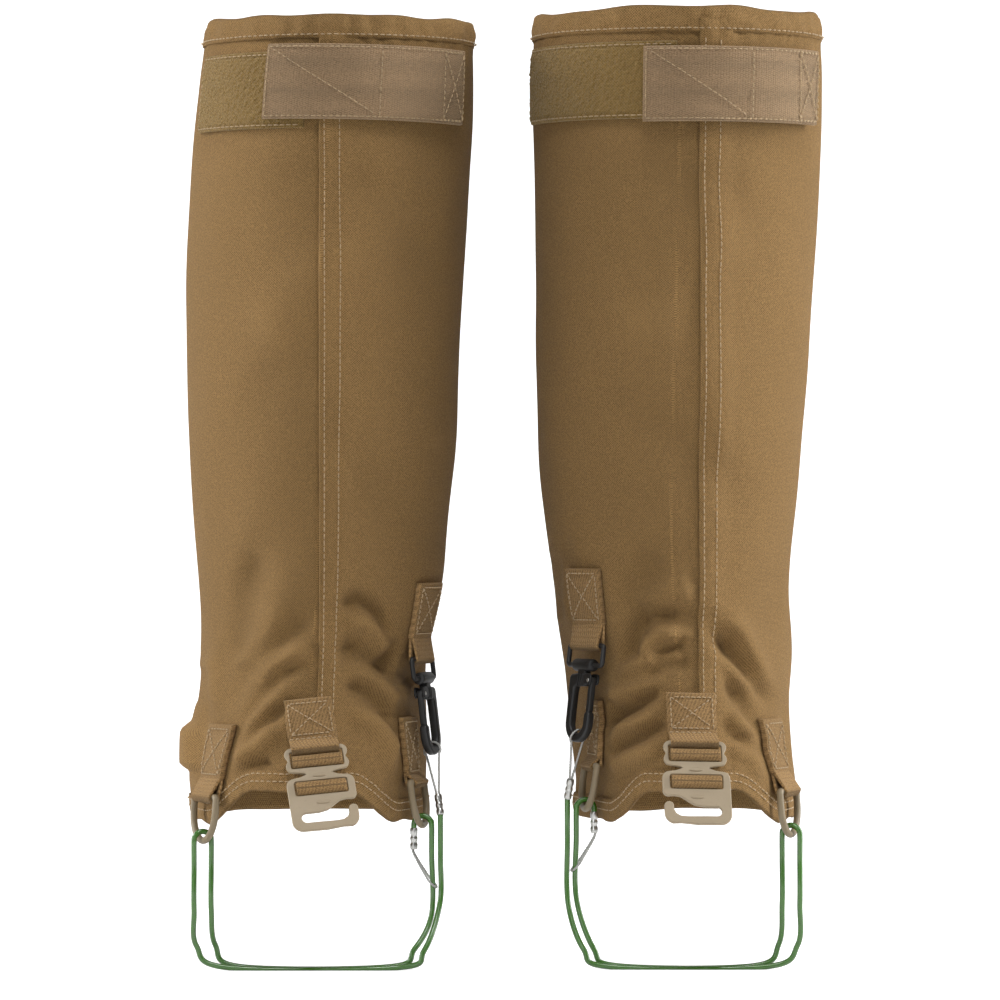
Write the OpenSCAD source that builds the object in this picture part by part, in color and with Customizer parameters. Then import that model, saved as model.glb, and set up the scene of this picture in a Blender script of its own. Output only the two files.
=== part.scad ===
/* [Leg sleeve] */
// Height of the top edge of the wearer's right gaiter
right_top_z = 469; // [440:1:490]
// Height of the top edge of the wearer's left gaiter
left_top_z = 472; // [440:1:490]
// Height of the front hem's lower edge, over the boot laces
front_hem_z = 89; // [84:1:96]
// Height of the hem's lower edge at the sides and the heel
rear_hem_z = 73; // [68:1:80]
// Thickness of the coated canvas
canvas_t = 1.2; // [0.8:0.1:1.5]
// Width of the overlapping front flap
flap_w = 11; // [8:1:16]

/* [Hems and strap] */
// Height of the folded casing at the top
top_hem_h = 12; // [9:1:16]
// Height of the folded hem at the bottom
bottom_hem_h = 11; // [8:1:14]
// Width of the elastic calf strap
strap_w = 37; // [30:1:40]
// Thickness of the elastic calf strap
strap_t = 1.7; // [1.2:0.1:2.2]
// Depth of the loop pile patch under the strap
pile_h = 36; // [30:1:40]

/* [Webbing and metal] */
// Width of the webbing tabs
webbing_w = 25.4; // [20:0.2:26]
// Thickness of one layer of webbing
webbing_t = 1.4; // [1.2:0.1:1.8]
// Diameter of the D-ring wire
ring_wire_d = 3.4; // [3:0.1:3.8]
// Diameter of the coated stirrup cable
cable_d = 2.8; // [2.4:0.1:3]
// Thickness of the stamped lace hook
hook_plate_t = 2; // [1.6:0.1:2.2]

/* [Hidden] */
$fn = 48;

// Colours of the materials
canvas_colour = [0.36, 0.29, 0.20];
webbing_colour = [0.31, 0.25, 0.17];
elastic_colour = [0.46, 0.38, 0.30];
pile_colour = [0.43, 0.39, 0.27];
plate_colour = [0.62, 0.54, 0.40];
black_colour = [0.05, 0.05, 0.05];
cable_colour = [0.25, 0.34, 0.16];
steel_colour = [0.70, 0.70, 0.68];

// Each sleeve is a stack of egg-shaped sections: height, centre X, half width, front depth, back depth
RIGHT_SECTIONS = [
    [476, -79, 65.0, 65, 66],
    [440, -82, 68.3, 69, 71],
    [340, -87.5, 69.8, 70, 77],
    [255, -88, 67.0, 68, 71],
    [190, -89.5, 61.5, 65, 64],
    [150, -92, 58.5, 70, 61],
    [115, -94.3, 61.0, 85, 66],
    [90, -95, 61.5, 99, 71],
    [60, -95, 60.0, 106, 73]];
LEFT_SECTIONS = [
    [476, 88.5, 70.5, 68, 68],
    [440, 88.3, 72.5, 70, 72],
    [340, 86.2, 69.2, 70, 77],
    [255, 84, 65.5, 67, 70],
    [190, 84.5, 59.5, 65, 63],
    [150, 87, 59.5, 70, 61],
    [115, 88.7, 58.8, 85, 66],
    [90, 91, 58.5, 99, 71],
    [60, 92, 58.0, 106, 73]];

// +1 for the wearer's left gaiter, whose lateral side faces +X, and -1 for the right
function hand(side) = side == "left" ? 1 : -1;
function sections(side) = side == "left" ? LEFT_SECTIONS : RIGHT_SECTIONS;
function top_z(side) = side == "left" ? left_top_z : right_top_z;
function seam_x(side) = side == "left" ? 97.5 : -88.5;

function slope(t, i, k) = let (
    a = max(i - 1, 0),
    b = min(i + 1, len(t) - 1))
    (t[b][k] - t[a][k]) / (t[b][0] - t[a][0]);
function span_of(t, z, i = 0) = i >= len(t) - 2 || z >= t[i + 1][0] ? i : span_of(t, z, i + 1);
// Smooth value of column k at height z
function profile(t, z, k) = let (
    i = span_of(t, z),
    h = t[i + 1][0] - t[i][0],
    u = (z - t[i][0]) / h)
    t[i][k] * (2 * u * u * u - 3 * u * u + 1) + h * slope(t, i, k) * (u * u * u - 2 * u * u + u)
    + t[i + 1][k] * (3 * u * u - 2 * u * u * u) + h * slope(t, i + 1, k) * (u * u * u - u * u);

function smooth(u) = let (v = min(max(u, 0), 1)) v * v * (3 - 2 * v);
// Depth of the section on the front half or the back half
function depth(side, a, z) = profile(sections(side), z, cos(a) >= 0 ? 3 : 4);
// Share of its width that the sleeve loses over the instep, on the medial and the lateral side
function pinch(side) = side == "left" ? [0.26, 0.08] : [0.14, 0.08];
// Half width at angle a round the leg: 0 is the front and +90 faces +X
function half_width(side, a, z) = let (
    round = abs(a > 180 ? a - 360 : a < -180 ? a + 360 : a),
    share = pinch(side)[sin(a) * hand(side) < 0 ? 0 : 1])
    profile(sections(side), z, 2) * (1 - share * smooth((200 - z) / 80) * smooth((118 - round) / 50));
function outline(side, a, z) = [
    profile(sections(side), z, 1) + half_width(side, a, z) * sin(a),
    -depth(side, a, z) * cos(a)];
// Outward normal, level
function normal(side, a, z) = let (t = outline(side, a + 1, z) - outline(side, a - 1, z))
    [t[1], -t[0]] / norm(t);
// Point on the sleeve, moved outward by out
function skin(side, a, z, out = 0) = let (p = outline(side, a, z) + out * normal(side, a, z))
    [p[0], p[1], z];
function seam_angle(side, z) = asin((seam_x(side) - profile(sections(side), z, 1))
    / profile(sections(side), z, 2));
function hem_z(a) = let (turn = abs(a > 180 ? a - 360 : a))
    front_hem_z - (front_hem_z - rear_hem_z) * smooth((turn - 24) / 34);

// Steps of the sleeve mesh round half the leg and up the leg
STEPS_ROUND = 24;
STEPS_UP = 18;

// Closed solid from two grids of points, an outer one and an inner one, of the same size
module slab(outer, inner) {
    rows = len(outer);
    cols = len(outer[0]);
    count = rows * cols;
    function at(i, j, layer) = layer * count + i * cols + j;
    rim = concat(
        [for (j = [0:cols - 1]) [0, j]],
        [for (i = [1:rows - 1]) [i, cols - 1]],
        [for (j = [cols - 2:-1:0]) [rows - 1, j]],
        [for (i = [rows - 2:-1:1]) [i, 0]]);
    polyhedron(
        points = [for (grid = [outer, inner], row = grid, p = row) p],
        faces = concat(
            [for (i = [0:rows - 2], j = [0:cols - 2], half = [0, 1])
                half == 0
                    ? [at(i, j, 0), at(i + 1, j, 0), at(i + 1, j + 1, 0)]
                    : [at(i, j, 0), at(i + 1, j + 1, 0), at(i, j + 1, 0)]],
            [for (i = [0:rows - 2], j = [0:cols - 2], half = [0, 1])
                half == 0
                    ? [at(i, j, 1), at(i + 1, j + 1, 1), at(i + 1, j, 1)]
                    : [at(i, j, 1), at(i, j + 1, 1), at(i + 1, j + 1, 1)]],
            [for (k = [0:len(rim) - 1], half = [0, 1]) let (
                p = rim[k],
                q = rim[(k + 1) % len(rim)])
                half == 0
                    ? [at(p[0], p[1], 0), at(q[0], q[1], 0), at(q[0], q[1], 1)]
                    : [at(p[0], p[1], 0), at(q[0], q[1], 1), at(p[0], p[1], 1)]]));
}

// Sheet that follows the sleeve from edge_a(z) to edge_b(z) and from low(a) to high(a)
module sheet(side, edge_a, edge_b, low, high, inner_out, outer_out, round_steps, up_steps) {
    function grid(out) = [for (i = [0:up_steps]) [for (j = [0:round_steps]) let (
        u = j / round_steps,
        v = i / up_steps,
        middle = (low(0) + high(0)) / 2,
        guess = edge_a(middle) + u * (edge_b(middle) - edge_a(middle)),
        first_z = low(guess) + v * (high(guess) - low(guess)),
        first_a = edge_a(first_z) + u * (edge_b(first_z) - edge_a(first_z)),
        z = low(first_a) + v * (high(first_a) - low(first_a)),
        a = edge_a(z) + u * (edge_b(z) - edge_a(z)))
        skin(side, a, z, out)]];
    slab(grid(inner_out), grid(outer_out));
}

// Closed ring round the whole sleeve; the outline is a list of [out, height above base(a)]
module ring_round(side, outline, base, steps = 2 * STEPS_ROUND) {
    n = len(outline);
    polyhedron(
        points = [for (i = [0:steps - 1], p = outline) let (a = 360 * i / steps - 180)
            skin(side, a, base(a) + p[1], p[0])],
        faces = [for (i = [0:steps - 1], j = [0:n - 1], half = [0, 1]) let (
            i2 = (i + 1) % steps,
            j2 = (j + 1) % n)
            half == 0
                ? [i * n + j, i * n + j2, i2 * n + j2]
                : [i * n + j, i2 * n + j2, i2 * n + j]]);
}

function unit(v) = v / norm(v);
// Smooth curve through points, each span cut into steps
function spline(p, steps) = concat(
    [for (i = [0:len(p) - 2], k = [0:steps - 1]) let (
        u = k / steps,
        a = i > 0 ? p[i - 1] : 2 * p[0] - p[1],
        d = i < len(p) - 2 ? p[i + 2] : 2 * p[i + 1] - p[i])
        0.5 * (2 * p[i] + (p[i + 1] - a) * u + (2 * a - 5 * p[i] + 4 * p[i + 1] - d) * u * u
            + (3 * p[i] - a - 3 * p[i + 1] + d) * u * u * u)],
    [p[len(p) - 1]]);
// Round wire along points; across is a direction that the wire never runs along
module wire(points, r, across, sides = 10) {
    n = len(points);
    function way(i) = unit(points[min(i + 1, n - 1)] - points[max(i - 1, 0)]);
    shell = [for (i = [0:n - 1]) let (
        t = way(i),
        u = unit(cross(t, across)),
        v = cross(t, u))
        for (k = [0:sides - 1]) points[i] + r * (cos(360 * k / sides) * u + sin(360 * k / sides) * v)];
    polyhedron(
        points = shell,
        faces = concat(
            [for (i = [0:n - 2], k = [0:sides - 1], half = [0, 1]) let (
                i2 = i + 1,
                k2 = (k + 1) % sides)
                half == 0
                    ? [i * sides + k, i * sides + k2, i2 * sides + k2]
                    : [i * sides + k, i2 * sides + k2, i2 * sides + k]],
            [[for (k = [sides - 1:-1:0]) k], [for (k = [0:sides - 1]) (n - 1) * sides + k]]));
}

// A seat is [origin, heading, lean, roll]: local X runs along the sleeve, -Y points out, Z up
function seat(side, a, z, out, lean_from, lean_to, roll = 0) = let (
    n = normal(side, a, z),
    low = skin(side, a, lean_from),
    high = skin(side, a, lean_to),
    gap = [low[0] - high[0], low[1] - high[1]] * n)
    [skin(side, a, z, out), atan2(n[0], -n[1]), atan2(gap, lean_to - lean_from), roll];
module at_seat(s) {
    translate(s[0]) rotate([0, 0, s[1]]) rotate([-s[2], 0, 0]) rotate([0, s[3], 0]) children();
}
function turn_y(p, b) = [p[0] * cos(b) + p[2] * sin(b), p[1], p[2] * cos(b) - p[0] * sin(b)];
function turn_x(p, b) = [p[0], p[1] * cos(b) - p[2] * sin(b), p[2] * cos(b) + p[1] * sin(b)];
function turn_z(p, b) = [p[0] * cos(b) - p[1] * sin(b), p[1] * cos(b) + p[0] * sin(b), p[2]];
function direction(s, p) = turn_z(turn_x(turn_y(p, s[3]), -s[2]), s[1]);
function from_seat(s, p) = s[0] + direction(s, p);

// Running clearance between a bar and the eye that turns on it
RUN = 0.06;
lace_bar_r = 1.5;
loop_wire_r = 1.2;
ring_r = ring_wire_d / 2;
cable_r = cable_d / 2;
eye_wire_r = 0.6;
ferrule_r = 1.9;
ferrule_len = 10.5;
ring_bow_r = 14.5;
ring_leg = 7.1;
ring_drop = ring_bow_r + ring_leg;
loop_drop = 9.8;
hook_drop = 36;
bight_r = ring_r + cable_r + 1.4;

// Distance from a tab's back to the bar it holds
function eye_out(bar_r) = bar_r + RUN + webbing_t;
function instep_seat(side) = side == "left"
    ? seat(side, 4.8, 113, 3.1 + eye_out(lace_bar_r), 104, 138, 1.5)
    : seat(side, 4.4, 110.5, 3.1 + eye_out(lace_bar_r), 101, 135, -6);
function snap_seat(side) = side == "left"
    ? seat(side, -50, 159.5, 2 + eye_out(loop_wire_r), 150, 190)
    : seat(side, 66, 152.5, 2 + eye_out(loop_wire_r), 143, 183);
function lateral_seat(side) = side == "left"
    ? seat(side, 58, 88.4, 1.8 + eye_out(ring_r), 86, 120)
    : seat(side, -52, 85.9, 1.8 + eye_out(ring_r), 84, 118);
function medial_seat(side) = side == "left"
    ? seat(side, -68, 100, 1.8 + eye_out(ring_r), 92, 126)
    : seat(side, 68, 92, 1.8 + eye_out(ring_r), 88, 122);
// Metal parts hang at their own lean, whatever the lean of their tab
snap_lean = 7;
lateral_lean = 4;
medial_lean = 8;
function plumb(s, origin, lean) = [origin, s[1], lean, 0];
function lateral_ring_seat(side) = let (s = lateral_seat(side)) plumb(s, s[0], lateral_lean);
function medial_ring_seat(side) = let (s = medial_seat(side)) plumb(s, s[0], medial_lean);
function loop_seat(side) = let (s = snap_seat(side)) plumb(s, s[0], snap_lean);
function hook_seat(side) = let (s = loop_seat(side)) plumb(s, from_seat(s, [0, 0, -loop_drop]), s[2]);
function end_pivot(side) = from_seat(hook_seat(side), [0, 0, -hook_drop]);
function lateral_bow(side) = from_seat(lateral_ring_seat(side), [0, 0, -ring_drop]);
function medial_bow(side) = from_seat(medial_ring_seat(side), [0, 0, -ring_drop]);
function outward(s) = direction([s[0], s[1], 0, 0], [0, -1, 0]);
// Lower end of ferrule A, beside the line through both ring bows
function ferrule_a_foot(side) = medial_bow(side) + 9 * outward(medial_seat(side)) + [0, 0, 5];

module outer_panel(side) { color(canvas_colour) leg_panel(side, side == "left"); }
module inner_panel(side) { color(canvas_colour) leg_panel(side, side != "left"); }
// Half of the leg, from the front seam to the back seam, on the +X side or the -X side
module leg_panel(side, plus_x) {
    gap = 0.12;
    hem_gap = 0.9;
    sheet(side,
        function (z) plus_x ? seam_angle(side, z) + gap : gap - 180,
        function (z) plus_x ? 180 - gap : seam_angle(side, z) - gap,
        function (a) hem_z(a) + bottom_hem_h + hem_gap,
        function (a) top_z(side) - top_hem_h - gap,
        -canvas_t, 0, STEPS_ROUND, STEPS_UP);
}
// Strip beside the front seam: from and to are distances from the seam
module seam_strip(side, from, to, inner_out, thickness, margin) {
    sheet(side,
        function (z) seam_angle(side, z) + from,
        function (z) seam_angle(side, z) + to,
        function (a) hem_z(a) + bottom_hem_h + margin,
        function (a) top_z(side) - top_hem_h - margin,
        inner_out, inner_out + thickness, 2, STEPS_UP);
}
flap_angle = flap_w / 65 * 180 / PI;
module front_flap(side) { color(canvas_colour) seam_strip(side, 0, flap_angle, 0.2, 1.1, 0.12); }
module flap_hook_tape(side) { color(black_colour) seam_strip(side, -6, 20, -2.4, 0.8, 3); }
module flap_loop_tape(side) { color(pile_colour) seam_strip(side, -6, 20, -3.6, 0.9, 3); }
module top_hem(side) {
    out = 1.6;
    ply = 0.7;
    color(canvas_colour) ring_round(side,
        [[-out - canvas_t, 0], [-out - canvas_t, top_hem_h], [out, top_hem_h], [out, 0],
            [out - ply, 0], [out - ply, top_hem_h - ply], [ply - out - canvas_t, top_hem_h - ply],
            [ply - out - canvas_t, 0]],
        function (a) top_z(side) - top_hem_h);
}
module hem_elastic(side) {
    margin = 2;
    color(elastic_colour) ring_round(side,
        [[-1.3, margin], [-1.3, top_hem_h - margin], [0.1, top_hem_h - margin], [0.1, margin]],
        function (a) top_z(side) - top_hem_h);
}
module bottom_hem(side) {
    color(canvas_colour) ring_round(side,
        [[-canvas_t, 0], [-canvas_t, bottom_hem_h], [0.9, bottom_hem_h], [0.9, 0]],
        function (a) hem_z(a), 4 * STEPS_ROUND);
}
// Angles of the pile patch and of the strap's free and sewn ends
function pile_span(side) = side == "left" ? [-80, -1.5] : [-69, -10];
function strap_span(side) = side == "left" ? [-14, 64] : [-27, 62];
strap_z = 434.5;
function pile_z(side) = side == "left" ? 436.4 : 431.7;
module band(side, span, z, w, inner_out, thickness, steps) {
    sheet(side, function (h) span[0], function (h) span[1], function (a) z - w / 2,
        function (a) z + w / 2, inner_out, inner_out + thickness, steps, 2);
}
module pile_patch(side) {
    color(pile_colour) band(side, pile_span(side), pile_z(side), pile_h, 1.6, 1.4, 20);
}
module calf_strap(side) {
    color(elastic_colour) band(side, strap_span(side), strap_z, strap_w, 3.4, strap_t, 20);
}

// Webbing patch with a rolled eye round a bar; the bar's centre is the local origin
module tab(s, bar_r, rise, width = webbing_w) {
    eye_r = eye_out(bar_r);
    at_seat(s) rotate([90, 0, 90]) translate([0, 0, -width / 2]) linear_extrude(width) difference() {
        union() {
            circle(eye_r);
            translate([eye_r - 2 * webbing_t, 0]) square([2 * webbing_t, rise]);
        }
        circle(bar_r + RUN);
    }
}
module instep_tab(side) { color(webbing_colour) tab(instep_seat(side), lace_bar_r, 28, 24.6); }
module snap_tab(side) { color(webbing_colour) tab(snap_seat(side), loop_wire_r, 38); }
module lateral_tab(side) { color(webbing_colour) tab(lateral_seat(side), ring_r, 36); }
module medial_tab(side) { color(webbing_colour) tab(medial_seat(side), ring_r, 32); }

module rod(from, to, r) {
    length = norm(to - from);
    way = (to - from) / length;
    translate(from) rotate([0, acos(way[2]), atan2(way[1], way[0])]) cylinder(h = length, r = r);
}
module d_ring(s) {
    at_seat(s) {
        rod([-ring_bow_r, 0, 0], [ring_bow_r, 0, 0], ring_r);
        for (x = [-ring_bow_r, ring_bow_r]) {
            translate([x, 0, 0]) sphere(ring_r);
            rod([x, 0, -ring_leg], [x, 0, 0], ring_r);
        }
        translate([0, 0, -ring_leg]) rotate([90, 0, 0]) rotate([0, 0, 180])
            rotate_extrude(angle = 180) translate([ring_bow_r, 0]) circle(ring_r);
    }
}
module lateral_ring(side) { color(plate_colour) d_ring(lateral_ring_seat(side)); }
module medial_ring(side) { color(plate_colour) d_ring(medial_ring_seat(side)); }

lace_hook_w = 33;
lace_frame_w = 30.5;
lace_slot_w = 25.6;
lace_edge = 2.2;
lace_drop = 43;
lace_slot_1 = [-9.7, -lace_edge / 2];
lace_slot_2 = [-24.3, -16.5];
lace_throat = [6.5, -32.2];
lace_throat_r = 3;
module rounded(x, z, r) {
    for (cx = [x[0] + r, x[1] - r], cz = [z[0] + r, z[1] - r]) translate([cx, cz]) circle(r);
    translate([x[0] + r, z[0]]) square([x[1] - x[0] - 2 * r, z[1] - z[0]]);
    translate([x[0], z[0] + r]) square([x[1] - x[0], z[1] - z[0] - 2 * r]);
}
module lace_outline() {
    frame_x = [-lace_frame_w / 2, lace_frame_w / 2];
    body_x = [-lace_hook_w / 2, lace_hook_w / 2];
    slot_x = [-lace_slot_w / 2, lace_slot_w / 2];
    neck_w = 13;
    tip_r = 2.8;
    difference() {
        union() {
            rounded(frame_x, [lace_slot_1[0] - lace_edge, lace_edge / 2], 1);
            translate([-neck_w / 2, lace_slot_2[1]]) square([neck_w, lace_slot_1[0] - lace_slot_2[1]]);
            rounded(body_x, [-lace_drop, lace_slot_2[1] + lace_edge], 5);
        }
        rounded(slot_x, lace_slot_1, 0.8);
        rounded(slot_x, lace_slot_2, 0.8);
        translate(lace_throat) circle(lace_throat_r);
        translate([-lace_hook_w, lace_throat[1] - lace_throat_r])
            square([lace_hook_w + lace_throat[0], 2 * lace_throat_r]);
    }
    translate([tip_r - lace_hook_w / 2 + 0.1, lace_throat[1] - lace_throat_r]) circle(tip_r);
}
// The throat opens towards the lateral boot lace: mirrored on the wearer's right gaiter
module toward_medial(side) { mirror([side == "left" ? 0 : 1, 0, 0]) children(); }
module lace_hook(side) {
    color(plate_colour) at_seat(instep_seat(side)) toward_medial(side) rotate([90, 0, 0])
        linear_extrude(hook_plate_t, center = true) lace_outline();
}
module hook_webbing(side) {
    width = 24;
    back_y = hook_plate_t / 2 + 0.2;
    reach = back_y + webbing_t;
    roll_1 = [lace_slot_1[0] + 0.2, -lace_bar_r - webbing_t - 0.3];
    roll_2 = [lace_slot_2[0] + 0.2, lace_slot_2[1] - 0.2];
    color(webbing_colour) at_seat(instep_seat(side)) rotate([90, 0, 90])
        translate([0, 0, -width / 2]) linear_extrude(width) {
            for (roll = [roll_1, roll_2]) rounded([-reach, reach], roll, 2);
            translate([back_y, roll_2[0] + 2]) square([webbing_t, roll_1[1] - roll_2[0] - 4]);
        }
}

loop_half_w = 15;
head_half_w = 8;
snap_thick = 4.4;
cheek_thick = 5.6;
gate_thick = 2.2;
gate_pin_r = 0.8;
bend_r = 7.8;
bend_z = bend_r - hook_drop;
gate_pivot = [7.8, -7.5];
nose_z = -24;
module snap_loop(side) {
    color(black_colour) at_seat(loop_seat(side)) {
        for (z = [0, -loop_drop]) rod([-loop_half_w, 0, z], [loop_half_w, 0, z], loop_wire_r);
        for (x = [-loop_half_w, loop_half_w]) {
            rod([x, 0, -loop_drop], [x, 0, 0], loop_wire_r);
            for (z = [0, -loop_drop]) translate([x, 0, z]) sphere(loop_wire_r);
        }
    }
}
// Flat piece in the hook's own plane, of thickness t
module plate(t) { rotate([90, 0, 0]) linear_extrude(t, center = true) children(); }
module snap_body(side) {
    tube_r = 3.1;
    half = snap_thick / 2;
    color(black_colour) at_seat(hook_seat(side)) toward_medial(side) difference() {
        union() {
            translate([-head_half_w, 0, 0]) rotate([0, 90, 0]) cylinder(h = 2 * head_half_w, r = tube_r);
            plate(snap_thick) {
                translate([-4, -5]) square([8, 4]);
                translate([-bend_r - half, bend_z]) square([snap_thick, -bend_z - 6]);
                translate([bend_r - half, bend_z]) square([snap_thick, nose_z - bend_z]);
                translate([0, bend_z]) difference() {
                    circle(bend_r + half);
                    circle(bend_r - half);
                    translate([-2 * bend_r, 0]) square(4 * bend_r);
                }
            }
            plate(cheek_thick) rounded([-bend_r - half, bend_r + half], [-9.6, -4.2], 2);
        }
        rotate([0, 90, 0]) translate([0, 0, -20]) cylinder(h = 40, r = loop_wire_r + RUN);
        plate(gate_thick + 0.3) translate([4.6, -14]) square([10, 11]);
        translate([gate_pivot[0], 10, gate_pivot[1]]) rotate([90, 0, 0])
            cylinder(h = 20, r = gate_pin_r + 0.01);
    }
}
module snap_gate(side) {
    arm_w = 2.6;
    color(black_colour) at_seat(hook_seat(side)) toward_medial(side)
        translate([gate_pivot[0], 0, gate_pivot[1]]) difference() {
            union() {
                plate(gate_thick) circle(2);
                plate(gate_thick) translate([-arm_w / 2, -4]) square([arm_w, 4]);
                plate(snap_thick - 0.8) translate([-arm_w / 2, nose_z - gate_pivot[1] + 0.3])
                    square([arm_w, gate_pivot[1] - nose_z - 3.3]);
            }
            translate([0, 10, 0]) rotate([90, 0, 0]) cylinder(h = 20, r = gate_pin_r + RUN);
        }
}
module gate_pin(side) {
    color(steel_colour) at_seat(hook_seat(side)) toward_medial(side)
        translate([gate_pivot[0], cheek_thick / 2, gate_pivot[1]]) rotate([90, 0, 0])
            cylinder(h = cheek_thick, r = gate_pin_r);
}

// Seat of the cable's clipped end: its local -Z runs from the snap hook to ferrule A's foot
function end_seat(side) = let (
    heading = hook_seat(side)[1],
    d = turn_z(unit(ferrule_a_foot(side) - end_pivot(side)), -heading))
    [end_pivot(side), heading, atan2(-d[1], -d[2]), -asin(d[0])];
function end_length(side) = norm(ferrule_a_foot(side) - end_pivot(side));
crimp_in = 2;
module eye_a(side) {
    eye_r = 4.3;
    leg_y = 0.75;
    foot = -end_length(side) + ferrule_len - crimp_in;
    color(steel_colour) at_seat(end_seat(side)) wire(concat(
        [[0, leg_y, foot], [0, leg_y, foot + crimp_in + 1]],
        [for (a = [-40:20:220]) [0, eye_r * cos(a), eye_r * sin(a)]],
        [[0, -leg_y, foot + crimp_in + 1], [0, -leg_y, foot]]), eye_wire_r, [1, 0, 0], 8);
}
module ferrule_a(side) {
    color(steel_colour) at_seat(end_seat(side)) translate([0, 0, -end_length(side)])
        cylinder(h = ferrule_len, r = ferrule_r);
}

function ferrule_b_head(side) = medial_bow(side) - bight_r * outward(medial_seat(side)) - [0, 0, 1.5];
module ferrule_b(side) {
    color(steel_colour) translate(ferrule_b_head(side) - [0, 0, ferrule_len])
        cylinder(h = ferrule_len, r = ferrule_r);
}
module eye_b(side) {
    eye_r = 3.6;
    out = outward(medial_seat(side));
    along = cross(out, [0, 0, 1]);
    start = ferrule_b_head(side) - [0, 0, ferrule_len - crimp_in];
    centre = medial_bow(side) + bight_r * out - [0, 0, 28];
    rise = unit([-out[0], -out[1], 1.1]);
    below = [0, 0, -crimp_in - 2];
    color(steel_colour) wire(concat(
        [start + 0.75 * along, start + 0.75 * along + below],
        [for (a = [50:20:310]) centre + eye_r * (cos(a) * rise + sin(a) * along)],
        [start - 0.75 * along + below, start - 0.75 * along]),
        eye_wire_r, unit(cross(rise, along)), 8);
}
module stirrup_cable(side) {
    h = hand(side);
    m = medial_bow(side);
    l = lateral_bow(side);
    out_m = outward(medial_seat(side));
    out_l = outward(lateral_seat(side));
    up = [0, 0, 1];
    spread = 2.8;
    middle_y = (m[1] + l[1]) / 2;
    start = ferrule_a_foot(side) - [0, 0, 1.2];
    function sole(x, z, shift) = [x, middle_y + shift, z];
    // Down the medial side, under the sole and up the lateral side, and back
    points = concat(
        [start, start - [0, 0, 20]],
        [[m[0] - h * 8.5, start[1] - 1.5, 32], sole(m[0] - h, 10, -spread),
            sole(m[0] + h * 12, cable_r, -spread),
            sole(l[0] - h * 12, cable_r, -spread), sole(l[0] + h * 3.5, 12, -spread)],
        [l + bight_r * out_l - 34 * up, l + bight_r * out_l - 12 * up],
        [for (a = [0:30:180]) l + bight_r * (cos(a) * out_l + sin(a) * up)],
        [l - bight_r * out_l - 12 * up, l - bight_r * out_l - 34 * up],
        [sole(l[0] - h * 5.5, 12, spread), sole(l[0] - h * 18, cable_r, spread),
            sole(m[0] + h * 16, cable_r, spread), sole(m[0] + h * 4, 10, spread)],
        [m + bight_r * out_m - 44 * up, m + bight_r * out_m - 14 * up],
        [for (a = [0:30:180]) m + bight_r * (cos(a) * out_m + sin(a) * up)],
        [ferrule_b_head(side) - crimp_in * up]);
    color(cable_colour) wire(spline(points, 4), cable_r, [0.35 * h, 1, 0], 10);
}

// Moves the origin to the middle of the pair's outline, level with the cable under the sole
module centred() { translate([0, 20, 0]) children(); }

centred() outer_panel("right");  // right_outer_panel
centred() inner_panel("right");  // right_inner_panel
centred() front_flap("right");  // right_front_flap
centred() flap_hook_tape("right");  // right_flap_hook_tape
centred() flap_loop_tape("right");  // right_flap_loop_tape
centred() top_hem("right");  // right_top_hem
centred() hem_elastic("right");  // right_hem_elastic
centred() bottom_hem("right");  // right_bottom_hem
centred() pile_patch("right");  // right_pile_patch
centred() calf_strap("right");  // right_calf_strap
centred() instep_tab("right");  // right_instep_tab
centred() lace_hook("right");  // right_lace_hook
centred() hook_webbing("right");  // right_hook_webbing
centred() snap_tab("right");  // right_snap_tab
centred() snap_loop("right");  // right_snap_loop
centred() snap_body("right");  // right_snap_body
centred() snap_gate("right");  // right_snap_gate
centred() gate_pin("right");  // right_gate_pin
centred() lateral_tab("right");  // right_lateral_tab
centred() lateral_ring("right");  // right_lateral_ring
centred() medial_tab("right");  // right_medial_tab
centred() medial_ring("right");  // right_medial_ring
centred() stirrup_cable("right");  // right_stirrup_cable
centred() eye_a("right");  // right_eye_a
centred() ferrule_a("right");  // right_ferrule_a
centred() ferrule_b("right");  // right_ferrule_b
centred() eye_b("right");  // right_eye_b
centred() outer_panel("left");  // left_outer_panel
centred() inner_panel("left");  // left_inner_panel
centred() front_flap("left");  // left_front_flap
centred() flap_hook_tape("left");  // left_flap_hook_tape
centred() flap_loop_tape("left");  // left_flap_loop_tape
centred() top_hem("left");  // left_top_hem
centred() hem_elastic("left");  // left_hem_elastic
centred() bottom_hem("left");  // left_bottom_hem
centred() pile_patch("left");  // left_pile_patch
centred() calf_strap("left");  // left_calf_strap
centred() instep_tab("left");  // left_instep_tab
centred() lace_hook("left");  // left_lace_hook
centred() hook_webbing("left");  // left_hook_webbing
centred() snap_tab("left");  // left_snap_tab
centred() snap_loop("left");  // left_snap_loop
centred() snap_body("left");  // left_snap_body
centred() snap_gate("left");  // left_snap_gate
centred() gate_pin("left");  // left_gate_pin
centred() lateral_tab("left");  // left_lateral_tab
centred() lateral_ring("left");  // left_lateral_ring
centred() medial_tab("left");  // left_medial_tab
centred() medial_ring("left");  // left_medial_ring
centred() stirrup_cable("left");  // left_stirrup_cable
centred() eye_a("left");  // left_eye_a
centred() ferrule_a("left");  // left_ferrule_a
centred() ferrule_b("left");  // left_ferrule_b
centred() eye_b("left");  // left_eye_b
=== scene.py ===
import math

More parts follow.
